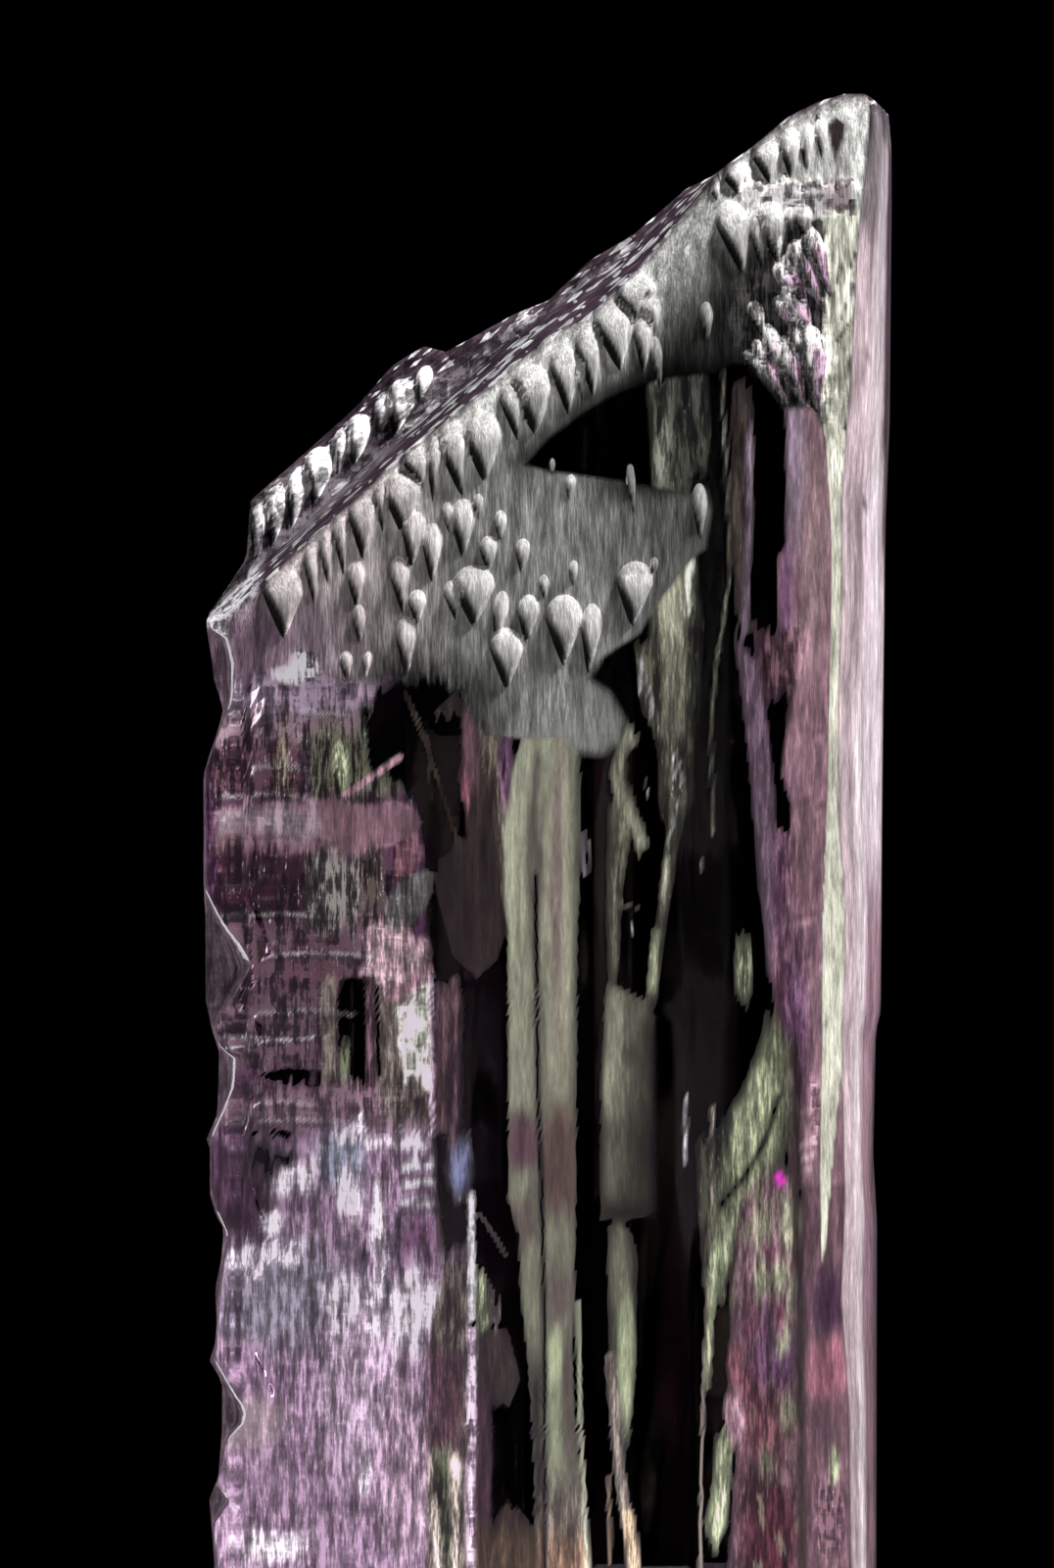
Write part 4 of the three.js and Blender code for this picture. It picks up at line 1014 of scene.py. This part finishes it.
satin = attribute("satin")
frost = smooth_step(calculate("MULTIPLY_ADD", streaky, 0.12, attribute("frost")), 0.30, 0.70)
frost = calculate("MAXIMUM", frost, calculate("MAXIMUM", on_drop, rim))

GRAIN_HEIGHT = 0.05 * MM
bump = nodes.new("ShaderNodeBump")
bump.inputs["Distance"].default_value = GRAIN_HEIGHT
deep = smooth_step(attribute("frost"), 0.80, 1.0)
links.new(calculate("MULTIPLY", fine, deep), bump.inputs["Height"])

IOR = 1.66
BACK_GAIN = (1.27, 1.45, 1.25, 1)  # makes up for what the crystal takes out of the light from the back
WHITE_ROUGHNESS, SATIN_ROUGHNESS = 0.6, 0.4
ABSORPTION_TINT, ABSORPTION_PER_M = (0.81, 0.42, 0.85, 1), 12.0
clear = nodes.new("ShaderNodeBsdfPrincipled")
clear.inputs["IOR"].default_value = IOR
clear.inputs["Transmission Weight"].default_value = 1.0
through = mix_colour(1.0, green_tint, BACK_GAIN, "MULTIPLY")
through = mix_colour(1.0, through, through, "MULTIPLY")  # squared, because glass shows its colour's root
links.new(mix_colour(smooth_step(satin, 0.05, 0.45), (1.0, 1.0, 1.0, 1.0), through),
          clear.inputs["Base Color"])
links.new(calculate("MULTIPLY", smooth_step(satin, 0.5, 0.9), SATIN_ROUGHNESS), clear.inputs["Roughness"])
links.new(bump.outputs["Normal"], clear.inputs["Normal"])
white = nodes.new("ShaderNodeBsdfPrincipled")
white.inputs["Roughness"].default_value = WHITE_ROUGHNESS
white.inputs["Specular IOR Level"].default_value = 0.0
links.new(white_tint, white.inputs["Base Color"])
links.new(bump.outputs["Normal"], white.inputs["Normal"])
either = nodes.new("ShaderNodeMixShader")
links.new(frost, either.inputs["Fac"])
links.new(clear.outputs["BSDF"], either.inputs[1])
links.new(white.outputs["BSDF"], either.inputs[2])
volume = nodes.new("ShaderNodeVolumeAbsorption")
volume.inputs["Color"].default_value = ABSORPTION_TINT
volume.inputs["Density"].default_value = ABSORPTION_PER_M
out = nodes.new("ShaderNodeOutputMaterial")
links.new(either.outputs["Shader"], out.inputs["Surface"])
links.new(volume.outputs["Volume"], out.inputs["Volume"])
crystal_mesh.materials.append(kunzite)
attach(crystal, "root")
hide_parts("kunzite_crystal")

# --- Floor, light and camera -------------------------------------------------------------------
# A pale floor, one hard softbox high on the right that rakes over the front, and soft light from
# behind on both sides, out of the line of sight.
floor_mesh = bpy.data.meshes.new("floor")
sheet = bmesh.new()
bmesh.ops.create_grid(sheet, x_segments=1, y_segments=1, size=0.3)
sheet.to_mesh(floor_mesh)
sheet.free()
floor = bpy.data.objects.new("floor", floor_mesh)
bpy.context.scene.collection.objects.link(floor)
pale = bpy.data.materials.new("pale_floor")
pale.use_nodes = True
pale.node_tree.nodes["Principled BSDF"].inputs["Base Color"].default_value = (0.7, 0.7, 0.7, 1)
floor_mesh.materials.append(pale)
floor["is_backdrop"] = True


def soft_light(name, spot_at, aim, size, power):
    """A softbox at a place, turned to face a point."""
    lamp = bpy.data.lights.new(name, "AREA")
    lamp.shape = "RECTANGLE"
    lamp.size, lamp.size_y = size
    lamp.energy = power
    holder = bpy.data.objects.new(name, lamp)
    holder.location = spot_at
    holder.rotation_euler = (Vector(aim) - Vector(spot_at)).to_track_quat("-Z", "Y").to_euler()
    holder.visible_camera = False
    bpy.context.scene.collection.objects.link(holder)


FACE_CENTRE = Vector((0, -0.013, 0.12))  # what the key light aims at
KEY_DIRECTION, KEY_DISTANCE, KEY_SIZE, KEY_POWER = Vector((0.52, -0.17, 0.84)), 0.9, (0.10, 0.10), 16.0
BACK_AIM, BACK_SIZE, BACK_POWER = (0, 0, 0.08), (0.24, 0.35), 4.0
soft_light("key", FACE_CENTRE + KEY_DIRECTION * KEY_DISTANCE, FACE_CENTRE, KEY_SIZE, KEY_POWER)
soft_light("back_left", (-0.22, 0.40, 0.10), BACK_AIM, BACK_SIZE, BACK_POWER)
soft_light("back_right", (0.22, 0.40, 0.10), BACK_AIM, BACK_SIZE, BACK_POWER)

world = bpy.data.worlds.new("dark")
world.use_nodes = True
world.node_tree.nodes["Background"].inputs["Color"].default_value = (0, 0, 0, 1)
bpy.context.scene.world = world

CAMERA_DISTANCE = 1.5
VIEW_HEIGHT = 0.160  # what the frame shows from top to bottom at the front face
VIEW_X, VIEW_Z = -0.0022, 0.0973  # the middle of the view
SENSOR = 36
camera_data = bpy.data.cameras.new("camera")
camera_data.sensor_width = SENSOR
camera_data.lens = SENSOR * CAMERA_DISTANCE / VIEW_HEIGHT
camera = bpy.data.objects.new("camera", camera_data)
camera.location = (VIEW_X, cad_low.y - CAMERA_DISTANCE, VIEW_Z)
camera.rotation_euler = (np.pi / 2, 0, 0)
bpy.context.scene.collection.objects.link(camera)
bpy.context.scene.camera = camera
bpy.context.scene.view_settings.view_transform = "Standard"
bpy.context.scene.cycles.use_denoising = True

low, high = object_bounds()
